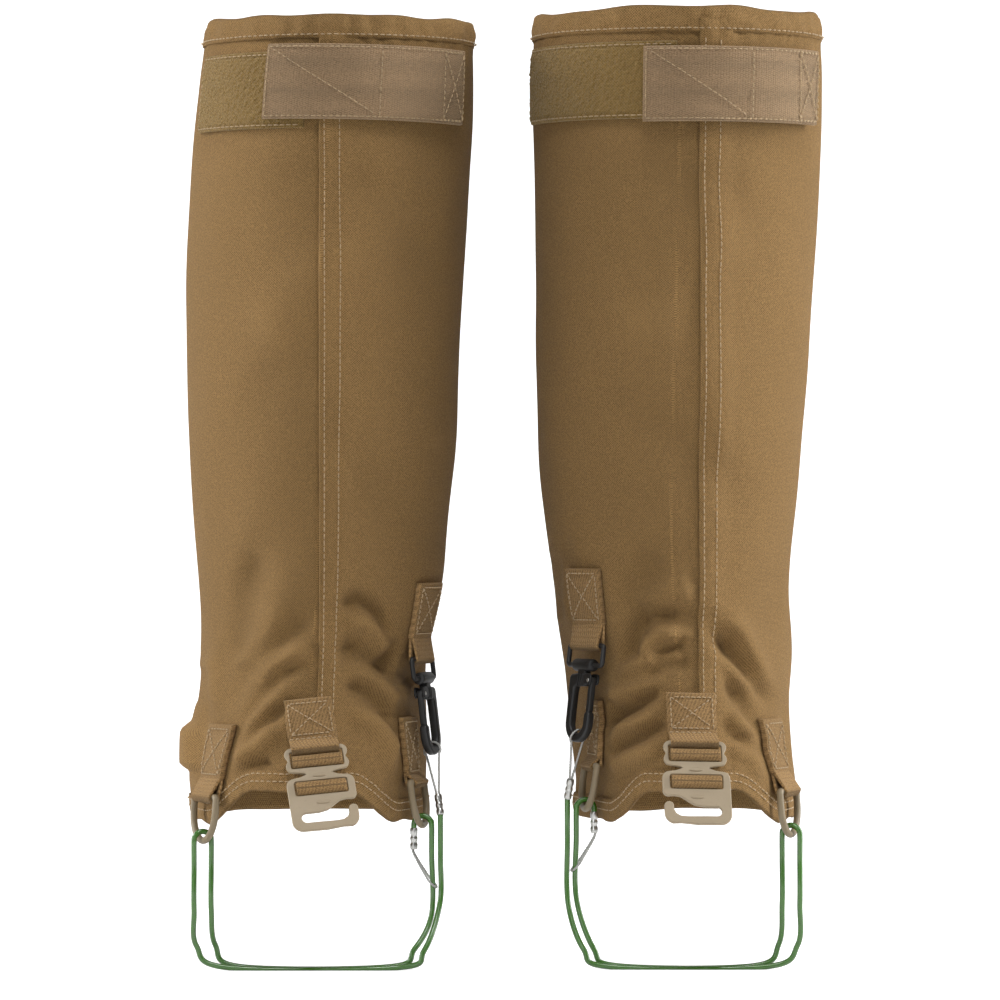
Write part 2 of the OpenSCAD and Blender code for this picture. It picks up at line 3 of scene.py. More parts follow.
import bmesh
import bpy
import numpy as np
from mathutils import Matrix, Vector


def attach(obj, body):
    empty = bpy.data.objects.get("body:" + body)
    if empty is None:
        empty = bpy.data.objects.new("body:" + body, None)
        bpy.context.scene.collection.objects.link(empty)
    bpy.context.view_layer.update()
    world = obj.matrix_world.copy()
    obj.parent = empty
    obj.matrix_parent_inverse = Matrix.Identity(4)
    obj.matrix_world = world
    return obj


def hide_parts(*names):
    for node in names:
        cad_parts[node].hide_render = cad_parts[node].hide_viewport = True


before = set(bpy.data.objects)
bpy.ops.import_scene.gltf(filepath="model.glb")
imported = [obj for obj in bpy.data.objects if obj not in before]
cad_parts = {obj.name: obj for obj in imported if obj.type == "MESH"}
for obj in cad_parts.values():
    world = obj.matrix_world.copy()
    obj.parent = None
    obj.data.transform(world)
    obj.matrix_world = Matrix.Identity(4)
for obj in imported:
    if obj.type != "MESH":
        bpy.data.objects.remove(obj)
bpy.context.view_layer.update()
RNG = np.random.default_rng(11)
MM = 0.001
SHIFT = np.array([0.0, 20.0, 0.0])

# ---------------------------------------------------------------- the sleeve's shape, in millimetres
# height, centre X, half width, front depth, back depth
SECTIONS = {
    "right": np.array([
        [476, -79, 65.0, 65, 66], [440, -82, 68.3, 69, 71], [340, -87.5, 69.8, 70, 77],
        [255, -88, 67.0, 68, 71], [190, -89.5, 61.5, 65, 64], [150, -92, 58.5, 70, 61],
        [115, -94.3, 61.0, 85, 66], [90, -95, 61.5, 99, 71], [60, -95, 60.0, 106, 73]]),
    "left": np.array([
        [476, 88.5, 70.5, 68, 68], [440, 88.3, 72.5, 70, 72], [340, 86.2, 69.2, 70, 77],
        [255, 84, 65.5, 67, 70], [190, 84.5, 59.5, 65, 63], [150, 87, 59.5, 70, 61],
        [115, 88.7, 58.8, 85, 66], [90, 91, 58.5, 99, 71], [60, 92, 58.0, 106, 73]])}
TOP_Z = {"right": 469.0, "left": 472.0}
SEAM_X = {"right": -88.5, "left": 97.5}
PINCH = {"right": (0.14, 0.08), "left": (0.26, 0.08)}
HAND = {"right": -1, "left": 1}
TOP_HEM = 12.0
BOTTOM_HEM = 11.0
CANVAS = 1.2
STRAP_Z = {"right": 434.5, "left": 434.6}
STRAP_W = 37.0
PILE_H = 36.0
WEBBING_W = 25.4
WEBBING_T = 1.4


def smooth(u):
    v = np.clip(u, 0, 1)
    return v * v * (3 - 2 * v)


def profile(side, z, k):
    """Smooth value of column k of the sections at heights z."""
    t = SECTIONS[side]
    i = np.clip(np.searchsorted(-t[:, 0], -z, side="left") - 1, 0, len(t) - 2)
    lo, hi = np.maximum(np.arange(len(t)) - 1, 0), np.minimum(np.arange(len(t)) + 1, len(t) - 1)
    slope = (t[hi, k] - t[lo, k]) / (t[hi, 0] - t[lo, 0])
    h = t[i + 1, 0] - t[i, 0]
    u = (z - t[i, 0]) / h
    return (t[i, k] * (2 * u**3 - 3 * u**2 + 1) + h * slope[i] * (u**3 - 2 * u**2 + u)
            + t[i + 1, k] * (3 * u**2 - 2 * u**3) + h * slope[i + 1] * (u**3 - u**2))


def half_width(side, a, z):
    turn = np.abs((a + 180) % 360 - 180)
    medial = np.sin(np.radians(a)) * HAND[side] < 0
    share = np.where(medial, PINCH[side][0], PINCH[side][1])
    return profile(side, z, 2) * (1 - share * smooth((200 - z) / 80) * smooth((118 - turn) / 50))


def outline(side, a, z):
    r = np.radians(a)
    depth = np.where(np.cos(r) >= 0, profile(side, z, 3), profile(side, z, 4))
    return np.stack([profile(side, z, 1) + half_width(side, a, z) * np.sin(r), -depth * np.cos(r)], -1)


def normal(side, a, z):
    t = outline(side, a + 1, z) - outline(side, a - 1, z)
    n = np.stack([t[..., 1], -t[..., 0]], -1)
    return n / np.linalg.norm(n, axis=-1, keepdims=True)


def skin(side, a, z, out=0.0):
    """Points on the plain sleeve, moved outward by out."""
    a, z, out = np.broadcast_arrays(np.asarray(a, float), np.asarray(z, float), np.asarray(out, float))
    xy = outline(side, a, z) + out[..., None] * normal(side, a, z)
    return np.concatenate([xy, z[..., None]], -1) + SHIFT


def seam_angle(side, z):
    return np.degrees(np.arcsin((SEAM_X[side] - profile(side, z, 1)) / profile(side, z, 2)))


def hem_z(a):
    turn = np.abs((np.asarray(a, float) + 180) % 360 - 180)
    return 89 - 16 * smooth((turn - 24) / 34)
# ---------------------------------------------------------------- folds
FOLD_DEPTH = 2.0
FOLD_TIGHT = 0.82
# height, width and path of each fold, as seen from the front: (x, z) along it
FOLDS = {
    "right": [
        (-2.6, 13, [(-113, 206), (-120, 187), (-127, 168), (-129, 152)]),
        (2.4, 11, [(-105, 187), (-112, 173), (-118, 158), (-122, 148)]),
        (-2.6, 8, [(-91, 180), (-105, 169), (-116, 154), (-125, 135), (-131, 122)]),
        (3.2, 8, [(-91, 165), (-105, 156), (-116, 145), (-124, 131), (-130, 117)]),
        (-3.0, 5.5, [(-91, 154), (-105, 150), (-115, 138), (-123, 125), (-129, 113)]),
        (2.6, 6, [(-91, 150), (-104, 142), (-112, 134), (-120, 123), (-127, 110)]),
        (-3.4, 5, [(-89, 140), (-99, 138), (-108, 130), (-117, 120), (-125, 111)]),
        (3.6, 6, [(-104, 127), (-114, 117), (-124, 108), (-132, 101)]),
        (-2.6, 5, [(-132, 100), (-120, 102), (-108, 104)]),
        (-3.2, 7, [(-78, 176), (-68, 179), (-58, 172), (-53, 160)]),
        (2.8, 8, [(-78, 166), (-69, 170), (-61, 163), (-54, 154)]),
        (-3.0, 6, [(-79, 163), (-73, 154), (-63, 149), (-53, 150)]),
        (3.0, 7, [(-79, 152), (-67, 144), (-56, 133), (-51, 123)]),
        (-3.4, 6, [(-78, 144), (-67, 138), (-58, 129), (-53, 119)]),
        (3.4, 6, [(-77, 130), (-65, 120), (-53, 107), (-44, 95)]),
        (-3.6, 8, [(-57, 158), (-50, 150), (-44, 138)]),
        (2.2, 7, [(-144, 159), (-140, 146), (-139, 132), (-142, 119)]),
        (-1.6, 9, [(-148, 152), (-146, 138), (-145, 127)]),
        (4.0, 14, [(-150, 119), (-152, 107), (-150, 96)]),
    ],
    "left": [
        (-2.6, 13, [(82, 206), (70, 189), (60, 178)]),
        (2.0, 12, [(95, 192), (80, 184), (65, 176)]),
        (-4.2, 7, [(94, 173), (82, 176), (71, 175), (63, 170), (59, 161), (53, 155)]),
        (3.4, 7, [(92, 166), (76, 169), (67, 164), (64, 158)]),
        (-2.6, 6, [(93, 158), (81, 158), (69, 155)]),
        (2.4, 6, [(93, 153), (78, 154), (63, 156), (53, 153)]),
        (-2.8, 6, [(95, 146), (82, 149), (68, 145)]),
        (2.8, 7, [(82, 142), (68, 141), (53, 135)]),
        (-3.6, 6, [(82, 135), (71, 135), (61, 130), (53, 120), (50, 114)]),
        (3.0, 6, [(81, 130), (68, 125), (56, 117), (51, 111)]),
        (-3.2, 5, [(81, 121), (72, 120), (61, 113), (52, 104)]),
        (3.4, 7, [(81, 114), (67, 110), (53, 103), (47, 98)]),
        (2.8, 8, [(107, 177), (119, 165), (126, 152), (130, 134)]),
        (-3.8, 8, [(106, 168), (117, 154), (126, 136), (132, 122)]),
        (3.2, 7, [(107, 154), (119, 139), (128, 123), (133, 105)]),
        (-3.6, 6, [(108, 144), (120, 129), (128, 112), (133, 101)]),
        (3.0, 6, [(108, 127), (119, 118), (127, 106)]),
        (-2.8, 5, [(109, 117), (121, 111), (129, 103), (134, 97)]),
        (2.6, 6, [(109, 112), (121, 105), (128, 95)]),
        (2.4, 8, [(39, 212), (41, 201), (35, 183), (32, 165)]),
        (-2.0, 8, [(34, 206), (31, 187), (29, 168)]),
    ],
}
# Broad soft bends of the upper leg, in the same form
for hand_side, dx in (("right", -88), ("left", 87)):
    FOLDS[hand_side] += [
        (0.9, 20, [(dx - 40, 330), (dx + 5, 300), (dx + 45, 250)]),
        (-0.9, 18, [(dx - 45, 290), (dx, 262), (dx + 40, 215)]),
        (1.4, 18, [(dx + 45, 380), (dx + 10, 345), (dx - 40, 300)]),
        (-1.2, 16, [(dx - 30, 400), (dx + 20, 385), (dx + 50, 350)])]
WAVES = [(RNG.normal(size=3), RNG.uniform(0, 6.28)) for _ in range(24)]


def waves(p, size):
    """Smooth noise of points in mm, about -1 to 1, with bumps of roughly the given size."""
    total = 0
    for way, start in WAVES:
        total = total + np.sin(p @ (way * 2.2 / size) + start)
    return total / 4.5


def near_path(x, z, path):
    """Distance to a polyline, and how far along it the nearest point is, 0 to 1."""
    best = np.full(x.shape, 1e9)
    along = np.zeros(x.shape)
    spans = len(path) - 1
    for i in range(spans):
        a, b = np.array(path[i], float), np.array(path[i + 1], float)
        ab = b - a
        t = np.clip(((x - a[0]) * ab[0] + (z - a[1]) * ab[1]) / (ab @ ab), 0, 1)
        d = np.hypot(x - a[0] - t * ab[0], z - a[1] - t * ab[1])
        closer = d < best
        best = np.where(closer, d, best)
        along = np.where(closer, (i + t) / spans, along)
    return best, along


def fold(side, a, z):
    """How far the cloth stands out from the plain sleeve, in mm."""
    a, z = np.broadcast_arrays(np.asarray(a, float), np.asarray(z, float))
    p = skin(side, a, z)
    warp_x = p[..., 0] + 2.5 * waves(p, 30)
    warp_z = z + 2.5 * waves(p[..., ::-1] + 40, 34)
    front = smooth((np.cos(np.radians(a)) + 0.25) / 0.5)
    total = np.zeros(a.shape)
    for height, width, path in FOLDS[side]:
        d, along = near_path(warp_x, warp_z, path)
        ends = smooth(along / 0.22) * 0.75 + 0.25
        ends = ends * (smooth((1 - along) / 0.22) * 0.75 + 0.25)
        total = total + height * ends * np.exp(-(d / (width * FOLD_TIGHT)) ** 2)
    total = total * front * FOLD_DEPTH
    # The back bunches up over the heel and the ankle
    back = 1 - smooth((np.cos(np.radians(a)) + 0.80) / 0.55)
    low = smooth((235 - z) / 70)
    slanted = p * np.array([0.35, 0.35, 1.0]) + 5 * waves(p, 60)[..., None] * np.array([0, 0, 1.0])
    total = total + back * low * 2.4 * np.sin(slanted[..., 2] / 5.2 + 1.6 * waves(p, 75))
    total = total + (0.5 + 0.5 * low) * 0.7 * waves(p * np.array([1, 1, 0.6]), 26)
    total = total + 1.1 * waves(p * np.array([1, 1, 0.45]) + 90, 80) * (1 - 0.5 * low)
    # Hems hold the cloth flat
    hold = smooth((TOP_Z[side] - 8 - z) / 55) * (0.35 + 0.65 * smooth((z - hem_z(a) - 4) / 16))
    return total * hold * settle(side, a, z)


# Angle, lowest and highest Z of each tab, and how far beyond it the folds return to full depth
SEATS = {"right": [(4.4, 74, 140, 14), (66, 150, 192, 12), (-52, 82, 124, 12), (68, 86, 126, 12)],
         "left": [(4.8, 74, 143, 14), (-50, 157, 200, 12), (58, 84, 126, 12), (-68, 94, 134, 12)]}


def settle(side, a, z):
    """Under the metal parts and their tabs the cloth stays close to the plain sleeve."""
    keep = np.ones(z.shape)
    for seat_a, low, high, reach in SEATS[side]:
        beside = np.maximum(np.abs((a - seat_a + 180) % 360 - 180) * 1.15 - 13, 0)
        above = np.maximum(0, np.maximum(low - z, z - high))
        keep = np.minimum(keep, 0.15 + 0.85 * smooth(np.hypot(beside, above) / reach))
    return keep


def cloth(side, a, z, out=0.0):
    return skin(side, a, z, fold(side, a, z) + out)


def cloth_normals(side, a, z):
    da = cloth(side, a + 0.6, z) - cloth(side, a - 0.6, z)
    dz = cloth(side, a, z + 0.6) - cloth(side, a, z - 0.6)
    n = np.cross(da, dz)
    return n / np.linalg.norm(n, axis=-1, keepdims=True)


# ---------------------------------------------------------------- seats of the tabs and metal parts
def turn(axis, degrees):
    c, s = math.cos(math.radians(degrees)), math.sin(math.radians(degrees))
    i, j = {"x": (1, 2), "y": (2, 0), "z": (0, 1)}[axis]
    m = np.eye(3)
    m[i, i] = m[j, j] = c
    m[i, j], m[j, i] = -s, s
    return m


class Seat:
    """Local X runs along the sleeve, -Y points out, Z points up; the bar's centre is the origin."""

    def __init__(self, origin, heading, lean, roll=0.0):
        self.origin, self.heading, self.lean, self.roll = np.array(origin, float), heading, lean, roll
        self.matrix = turn("z", heading) @ turn("x", -lean) @ turn("y", roll)

    def __call__(self, local):
        return self.origin + np.asarray(local, float) @ self.matrix.T

    def hang(self, lean, drop=0.0):
        """A metal part's own seat: same heading, its own lean, moved down the local Z by drop."""
        return Seat(Seat(self.origin, self.heading, self.lean)([0, 0, -drop]), self.heading, lean)

    @property
    def outward(self):
        return turn("z", self.heading) @ np.array([0, -1.0, 0])


def sleeve_seat(side, a, z, out, low, high, roll=0.0):
    n = normal(side, np.float64(a), np.float64(z))
    gap = (skin(side, a, low)[:2] - skin(side, a, high)[:2]) @ n
    return Seat(skin(side, a, z, out), math.degrees(math.atan2(n[0], -n[1])),
                math.degrees(math.atan2(gap, high - low)), roll)


RUN = 0.06
LACE_BAR_R, LOOP_R, RING_R, CABLE_R = 1.5, 1.2, 1.7, 1.4
RING_DROP, LOOP_DROP, HOOK_DROP = 21.6, 9.8, 36.0
SNAP_LEAN, LATERAL_LEAN, MEDIAL_LEAN = 7, 4, 8
FERRULE_R, FERRULE_LEN, EYE_WIRE = 1.9, 10.5, 0.6
BIGHT_R = RING_R + CABLE_R + 1.4


def eye_out(bar_r):
    return bar_r + RUN + WEBBING_T


SEAT = {}
for s_, rows in {
        "right": [(4.4, 110.5, 3.1 + eye_out(LACE_BAR_R), 101, 135, -6),
                  (66, 152.5, 2 + eye_out(LOOP_R), 143, 183, 0),
                  (-52, 85.9, 1.8 + eye_out(RING_R), 84, 118, 0),
                  (68, 92, 1.8 + eye_out(RING_R), 88, 122, 0)],
        "left": [(4.8, 113, 3.1 + eye_out(LACE_BAR_R), 104, 138, 1.5),
                 (-50, 159.5, 2 + eye_out(LOOP_R), 150, 190, 0),
                 (58, 88.4, 1.8 + eye_out(RING_R), 86, 120, 0),
                 (-68, 100, 1.8 + eye_out(RING_R), 92, 126, 0)]}.items():
    for label, row in zip(("instep", "snap", "lateral", "medial"), rows):
        SEAT[s_, label] = sleeve_seat(s_, *row)
    SEAT[s_, "loop"] = SEAT[s_, "snap"].hang(SNAP_LEAN)
    SEAT[s_, "hook"] = SEAT[s_, "loop"].hang(SNAP_LEAN, LOOP_DROP)
    SEAT[s_, "lateral_ring"] = SEAT[s_, "lateral"].hang(LATERAL_LEAN)
    SEAT[s_, "medial_ring"] = SEAT[s_, "medial"].hang(MEDIAL_LEAN)


# ---------------------------------------------------------------- mesh building, points in millimetres
def add_piece(name, points, quads, material, body, nodes=(), slot=None, uv=None, shade=None, polys=(), crisp=None):
    """One object from points in mm; quads is an (n, 4) array and polys holds any other faces.
    Faces that look along crisp are shaded flat."""
    points = np.asarray(points, float) * MM
    faces = [tuple(q) for q in np.asarray(quads, int).tolist()] + [tuple(p) for p in polys]
    used = np.zeros(len(points), bool)
    used[np.unique(np.concatenate([np.asarray(f) for f in faces])) if polys else np.unique(quads)] = True
    renumber = np.cumsum(used) - 1
    faces = [tuple(int(renumber[i]) for i in f) for f in faces]
    mesh = bpy.data.meshes.new(name)
    mesh.from_pydata(points[used].tolist(), [], faces)
    if uv is not None:
        layer = mesh.uv_layers.new(name="cloth")
        corner = np.empty(len(mesh.loops), int)
        mesh.loops.foreach_get("vertex_index", corner)
        layer.data.foreach_set("uv", (np.asarray(uv)[used][corner]).ravel())
    if shade is not None:
        values = mesh.attributes.new("shade", "FLOAT", "POINT")
        values.data.foreach_set("value", np.asarray(shade, float)[used])
    work = bmesh.new()
    work.from_mesh(mesh)
    bmesh.ops.recalc_face_normals(work, faces=work.faces)
    for face in work.faces:
        face.smooth = crisp is None or abs(face.normal @ Vector(crisp)) < 0.985
    work.to_mesh(mesh)
    work.free()
    mesh.validate()
    piece = bpy.data.objects.new(name, mesh)
    bpy.context.scene.collection.objects.link(piece)
    mesh.materials.append(material)
    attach(piece, body)
    if nodes:
        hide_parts(*nodes)
    return piece


def grid_quads(rows, cols, wrap_rows=False, wrap_cols=False):
    i = np.arange(rows if wrap_rows else rows - 1)
    j = np.arange(cols if wrap_cols else cols - 1)
    i, j = np.meshgrid(i, j, indexing="ij")
    i2, j2 = (i + 1) % rows, (j + 1) % cols
    return np.stack([i * cols + j, i * cols + j2, i2 * cols + j2, i2 * cols + j], -1).reshape(-1, 4)


def closed_sheet(outer, inner):
    """Points and quads of a closed sheet from two grids that share their rims."""
    rows, cols = outer.shape[:2]
    index = np.arange(rows * cols).reshape(rows, cols)
    behind = index + rows * cols
    for edge in (np.s_[0, :], np.s_[-1, :], np.s_[:, 0], np.s_[:, -1]):
        behind[edge] = index[edge]
    front = grid_quads(rows, cols)
    back = behind.ravel()[front[:, ::-1]]
    return np.concatenate([outer.reshape(-1, 3), inner.reshape(-1, 3)]), np.concatenate([front, back])


def spread(length, step, edge=0.7):
    """Positions from 0 to length, closer together near both ends."""
    rim = edge * np.array([0, 0.08, 0.3, 0.62])
    middle = np.linspace(edge, length - edge, max(2, int(round((length - 2 * edge) / step)) + 1))
    return np.concatenate([rim, middle, length - rim[::-1]])


def rounded(d, radius=0.7):
    return np.sqrt(1 - (1 - np.clip(d / radius, 0, 1)) ** 2)


def tube(points, radius, sides=12, closed=False):
    """Points and quads of a round tube; radius is one number or one for each point."""
    p = np.asarray(points, float)
    n = len(p)
    radius = np.broadcast_to(radius, (n,))
    way = np.roll(p, -1, 0) - np.roll(p, 1, 0) if closed else np.gradient(p, axis=0)
    way /= np.linalg.norm(way, axis=1, keepdims=True)
    side = np.empty_like(p)
    first = np.cross(way[0], [0.31, 0.2, 0.93])
    side[0] = first / np.linalg.norm(first)
    for i in range(1, n):
        v = side[i - 1] - way[i] * (side[i - 1] @ way[i])
        side[i] = v / np.linalg.norm(v)
    other = np.cross(way, side)
    t = np.linspace(0, 2 * np.pi, sides, endpoint=False)
    ring = (p[:, None] + radius[:, None, None]
            * (np.cos(t)[None, :, None] * side[:, None] + np.sin(t)[None, :, None] * other[:, None]))
    quads = grid_quads(n, sides, wrap_rows=closed, wrap_cols=True)
    caps = [] if closed else [list(range(sides - 1, -1, -1)), [(n - 1) * sides + k for k in range(sides)]]
    return ring.reshape(-1, 3), quads, caps, side, other


def join(parts):
    """Joins (points, quads, polys) into one."""
    points, quads, polys, start = [], [], [], 0
    for p, q, c in parts:
        points.append(p)
        quads.append(np.asarray(q) + start)
        polys += [[i + start for i in f] for f in c]
        start += len(p)
    return np.concatenate(points), np.concatenate(quads), polys


def resample(points, step):
    """Points evenly spaced along a line, with their spacing close to step."""
    p = np.asarray(points, float)
    s = np.concatenate([[0], np.cumsum(np.linalg.norm(np.diff(p, axis=0), axis=1))])
    t = np.linspace(0, s[-1], max(2, int(round(s[-1] / step)) + 1))
    return np.stack([np.interp(t, s, p[:, k]) for k in range(3)], -1)


def spline(points, steps=8):
    p = [np.asarray(q, float) for q in points]
    p = [2 * p[0] - p[1]] + p + [2 * p[-1] - p[-2]]
    out = []
    for i in range(1, len(p) - 2):
        for k in range(steps):
            u = k / steps
            out.append(0.5 * (2 * p[i] + (p[i + 1] - p[i - 1]) * u
                              + (2 * p[i - 1] - 5 * p[i] + 4 * p[i + 1] - p[i + 2]) * u * u
                              + (3 * p[i] - p[i - 1] - 3 * p[i + 1] + p[i + 2]) * u**3))
    return np.array(out + [p[-2]])


# ---------------------------------------------------------------- materials
class Paint:
    """A node material under construction."""

    def __init__(self, name):
        self.mat = bpy.data.materials.new(name)
        self.mat.use_nodes = True
        self.tree = self.mat.node_tree
        self.shader = self.tree.nodes["Principled BSDF"]

    def node(self, kind, inputs=None, **settings):
        n = self.tree.nodes.new(kind)
        for key, value in settings.items():
            setattr(n, key, value)
        for key, value in (inputs or {}).items():
            if isinstance(value, bpy.types.NodeSocket):
                self.tree.links.new(value, n.inputs[key])
            else:
                n.inputs[key].default_value = value
        return n

    def math(self, operation, a, b=0.0, clamp=False):
        return self.node("ShaderNodeMath", {0: a, 1: b}, operation=operation, use_clamp=clamp).outputs[0]

    def mix(self, factor, a, b, blend="MIX"):
        n = self.node("ShaderNodeMix", data_type="RGBA", blend_type=blend)
        for key, value in ((0, factor), (6, a), (7, b)):
            if isinstance(value, bpy.types.NodeSocket):
                self.tree.links.new(value, n.inputs[key])
            else:
                n.inputs[key].default_value = value
        return n.outputs[2]

    def noise(self, scale, detail=3.0, vector=None, roughness=0.55):
        inputs = {"Scale": scale, "Detail": detail, "Roughness": roughness}
        if vector is not None:
            inputs["Vector"] = vector
        return self.node("ShaderNodeTexNoise", inputs).outputs["Fac"]

    def spot(self, value, low, high):
        return self.node("ShaderNodeMapRange", {0: value, 1: low, 2: high}, interpolation_type="SMOOTHSTEP").outputs[0]

    def place(self):
        return self.node("ShaderNodeTexCoord").outputs["Object"]

    def set(self, **inputs):
        for key, value in inputs.items():
            socket = self.shader.inputs[key.replace("_", " ")]
            if isinstance(value, bpy.types.NodeSocket):
                self.tree.links.new(value, socket)
            else:
                socket.default_value = value

    def bump(self, height, strength, distance, below=None):
        inputs = {"Height": height, "Strength": strength, "Distance": distance}
        if below is not None:
            inputs["Normal"] = below
        return self.node("ShaderNodeBump", inputs).outputs["Normal"]


def rgba(c, k=1.0):
    return (c[0] * k, c[1] * k, c[2] * k, 1.0)


def woven(name, base, pitch, bump=0.35, contrast=0.22, sheen=0.25, rough=0.85, ribs=0.0, tone=0.10, slant=0.0):
    """Woven cloth: pitch is the yarn spacing across and along, in mm, on the piece's own cloth coordinates."""
    m = Paint(name)
    cloth_uv = m.node("ShaderNodeUVMap", uv_map="cloth").outputs[0]
    place = m.place()
    wander = m.noise(90, 2, place)
    xyz = m.node("ShaderNodeSeparateXYZ", {0: cloth_uv})
    u = m.math("ADD", xyz.outputs[0], m.math("MULTIPLY", wander, 0.5))
    v = m.math("ADD", xyz.outputs[1], m.math("MULTIPLY", wander, 0.5))
    u = m.math("ADD", u, m.math("MULTIPLY", v, slant))
    across = m.math("SINE", m.math("MULTIPLY", u, math.pi / pitch[0]))
    along = m.math("SINE", m.math("MULTIPLY", v, math.pi / pitch[1]))
    cross = m.math("MULTIPLY", across, along)
    pillow = m.math("POWER", m.math("ABSOLUTE", cross), 0.5)
    over = m.spot(cross, -0.15, 0.15)
    speck = m.noise(1500, 2, place)
    heather = m.noise(14, 4, place)
    wear = m.noise(45, 5, place, 0.7)
    shade = m.node("ShaderNodeAttribute", attribute_name="shade").outputs["Fac"]
    light = m.mix(over, rgba(base, 1 - contrast), rgba(base, 1 + contrast * 0.7))
    # Painted shade: the colour darkens in the hollows between the yarns
    light = m.mix(m.math("MULTIPLY", m.math("SUBTRACT", 1.0, pillow), 0.75), light, rgba(base, 0.42))
    light = m.mix(m.spot(speck, 0.35, 0.75), light, rgba((base[0] * 1.25, base[1] * 1.22, base[2] * 1.18)))
    light = m.mix(m.math("MULTIPLY", m.spot(heather, 0.35, 0.7), tone * 2), light, rgba(base, 0.72))
    light = m.mix(m.math("MULTIPLY", m.spot(wear, 0.58, 0.78), 0.28), light, rgba(base, 1.35))
    # Painted shade where the shade attribute is low (fold valleys, sunk stitch lines) and a painted highlight where it
    # is high (fold ridges and lapped edges)
    light = m.mix(m.math("MULTIPLY", m.spot(shade, -0.4, -4.5), 0.22), light, rgba(base, 0.5))
    light = m.mix(m.math("MULTIPLY", m.spot(shade, 1.2, 5.0), 0.18), light, rgba(base, 1.35))
    height = m.math("ADD", pillow, m.math("MULTIPLY", speck, 0.5))
    if ribs:
        height = m.math("ADD", height, m.math("MULTIPLY", m.math("ABSOLUTE", m.math(
            "SINE", m.math("MULTIPLY", v, math.pi / ribs))), 1.5))
    under = m.bump(wear, 0.25, 0.0008)
    m.set(Base_Color=light, Roughness=m.math("ADD", rough, m.math("MULTIPLY", heather, 0.08)),
          Normal=m.bump(height, bump, 0.0004, under))
    m.set(Sheen_Weight=sheen, Sheen_Roughness=0.45, Sheen_Tint=rgba((1.0, 0.88, 0.65)), Specular_IOR_Level=0.16)
    return m.mat


def thread(name, base):
    m = Paint(name)
    place = m.place()
    twist = m.noise(2600, 2, place)
    m.set(Base_Color=m.mix(twist, rgba(base, 0.75), rgba(base, 1.15)), Roughness=0.6, Sheen_Weight=0.3,
          Normal=m.bump(twist, 0.5, 0.0002))
    return m.mat


def painted(name, base, rough=0.5, chips=(0.32, 0.30, 0.27), amount=0.5, metallic=0.0, speck=0.12):
    """Matte paint over metal, worn through in small spots."""
    m = Paint(name)
    place = m.place()
    cloud = m.noise(60, 4, place)
    grit = m.noise(900, 3, place, 0.7)
    chip = m.math("MULTIPLY", m.spot(m.noise(260, 6, place, 0.75), 0.66, 0.70), amount)
    colour = m.mix(m.math("MULTIPLY", cloud, 0.5), rgba(base, 1.08), rgba(base, 0.82))
    colour = m.mix(m.math("MULTIPLY", m.spot(grit, 0.55, 0.75), speck * 3), colour, rgba(base, 0.7))
    m.set(Base_Color=m.mix(chip, colour, rgba(chips)), Roughness=m.math("ADD", rough - 0.08, m.math("MULTIPLY", cloud, 0.2)),
          Metallic=m.math("MULTIPLY", chip, 0.8) if not metallic else metallic,
          Normal=m.bump(m.math("SUBTRACT", grit, m.math("MULTIPLY", chip, 0.6)), 0.16, 0.0003))
    return m.mat


def bare_metal(name, base=(0.62, 0.62, 0.6), rough=0.3):
    m = Paint(name)
    place = m.place()
    scuff = m.noise(700, 5, place, 0.8)
    cloud = m.noise(120, 3, place)
    m.set(Base_Color=m.mix(cloud, rgba(base, 0.8), rgba(base, 1.05)), Metallic=1.0,
          Roughness=m.math("ADD", rough - 0.1, m.math("MULTIPLY", scuff, 0.3)), Normal=m.bump(scuff, 0.12, 0.0002))
    return m.mat


def moulded(name, base, rough=0.42):
    """Moulded nylon with a fine spark-eroded grain and lighter rubbed patches."""
    m = Paint(name)
    place = m.place()
    grain = m.noise(1600, 3, place, 0.7)
    rub = m.noise(110, 4, place)
    m.set(Base_Color=m.mix(m.spot(rub, 0.5, 0.8), rgba(base), rgba(base, 1.9)),
          Roughness=m.math("ADD", rough - 0.05, m.math("MULTIPLY", rub, 0.2)), Specular_IOR_Level=0.5,
          Normal=m.bump(grain, 0.22, 0.0002))
    return m.mat


def coated(name, base):
    """Clear green sleeve over a twisted core."""
    m = Paint(name)
    cloth_uv = m.node("ShaderNodeUVMap", uv_map="cloth").outputs[0]
    xyz = m.node("ShaderNodeSeparateXYZ", {0: cloth_uv})
    lay = m.math("SINE", m.math("ADD", m.math("MULTIPLY", xyz.outputs[0], 6.2832 * 3),
                                m.math("MULTIPLY", xyz.outputs[1], 1.5)))
    strand = m.spot(lay, -0.5, 0.8)
    m.set(Base_Color=m.mix(strand, rgba(base, 0.45), rgba((base[0] * 1.6, base[1] * 1.45, base[2] * 1.3))),
          Roughness=0.22, Coat_Weight=1.0, Coat_Roughness=0.06, Specular_IOR_Level=0.6,
          Normal=m.bump(lay, 0.15, 0.0003))
    return m.mat


CANVAS_C = (0.315, 0.188, 0.072)
WEB_C = (0.33, 0.200, 0.084)
M_CANVAS = woven("canvas", CANVAS_C, (0.62, 0.58), bump=1.0, contrast=0.55, sheen=0.05)
M_LINING = woven("canvas_inside", (0.12, 0.085, 0.05), (0.62, 0.55), bump=0.3)
M_WEBBING = woven("webbing", WEB_C, (0.85, 0.7), bump=1.0, contrast=0.45, sheen=0.12, slant=0.8)
M_ELASTIC = woven("elastic", (0.375, 0.248, 0.140), (1.3, 0.52), bump=0.9, contrast=0.30, ribs=0.54)
M_PILE = woven("loop_pile", (0.25, 0.158, 0.052), (0.7, 0.7), bump=0.9, contrast=0.35, sheen=0.3, rough=0.95)
M_HOOKTAPE = woven("hook_tape", (0.05, 0.04, 0.03), (0.5, 0.5), bump=0.8, rough=0.7)
M_THREAD = thread("thread", (0.44, 0.305, 0.155))
M_THREAD_DARK = thread("thread_dark", (0.22, 0.14, 0.065))
M_PLATE = painted("painted_plate", (0.325, 0.255, 0.165), 0.5)
M_RING = painted("painted_ring", (0.225, 0.175, 0.105), 0.45)
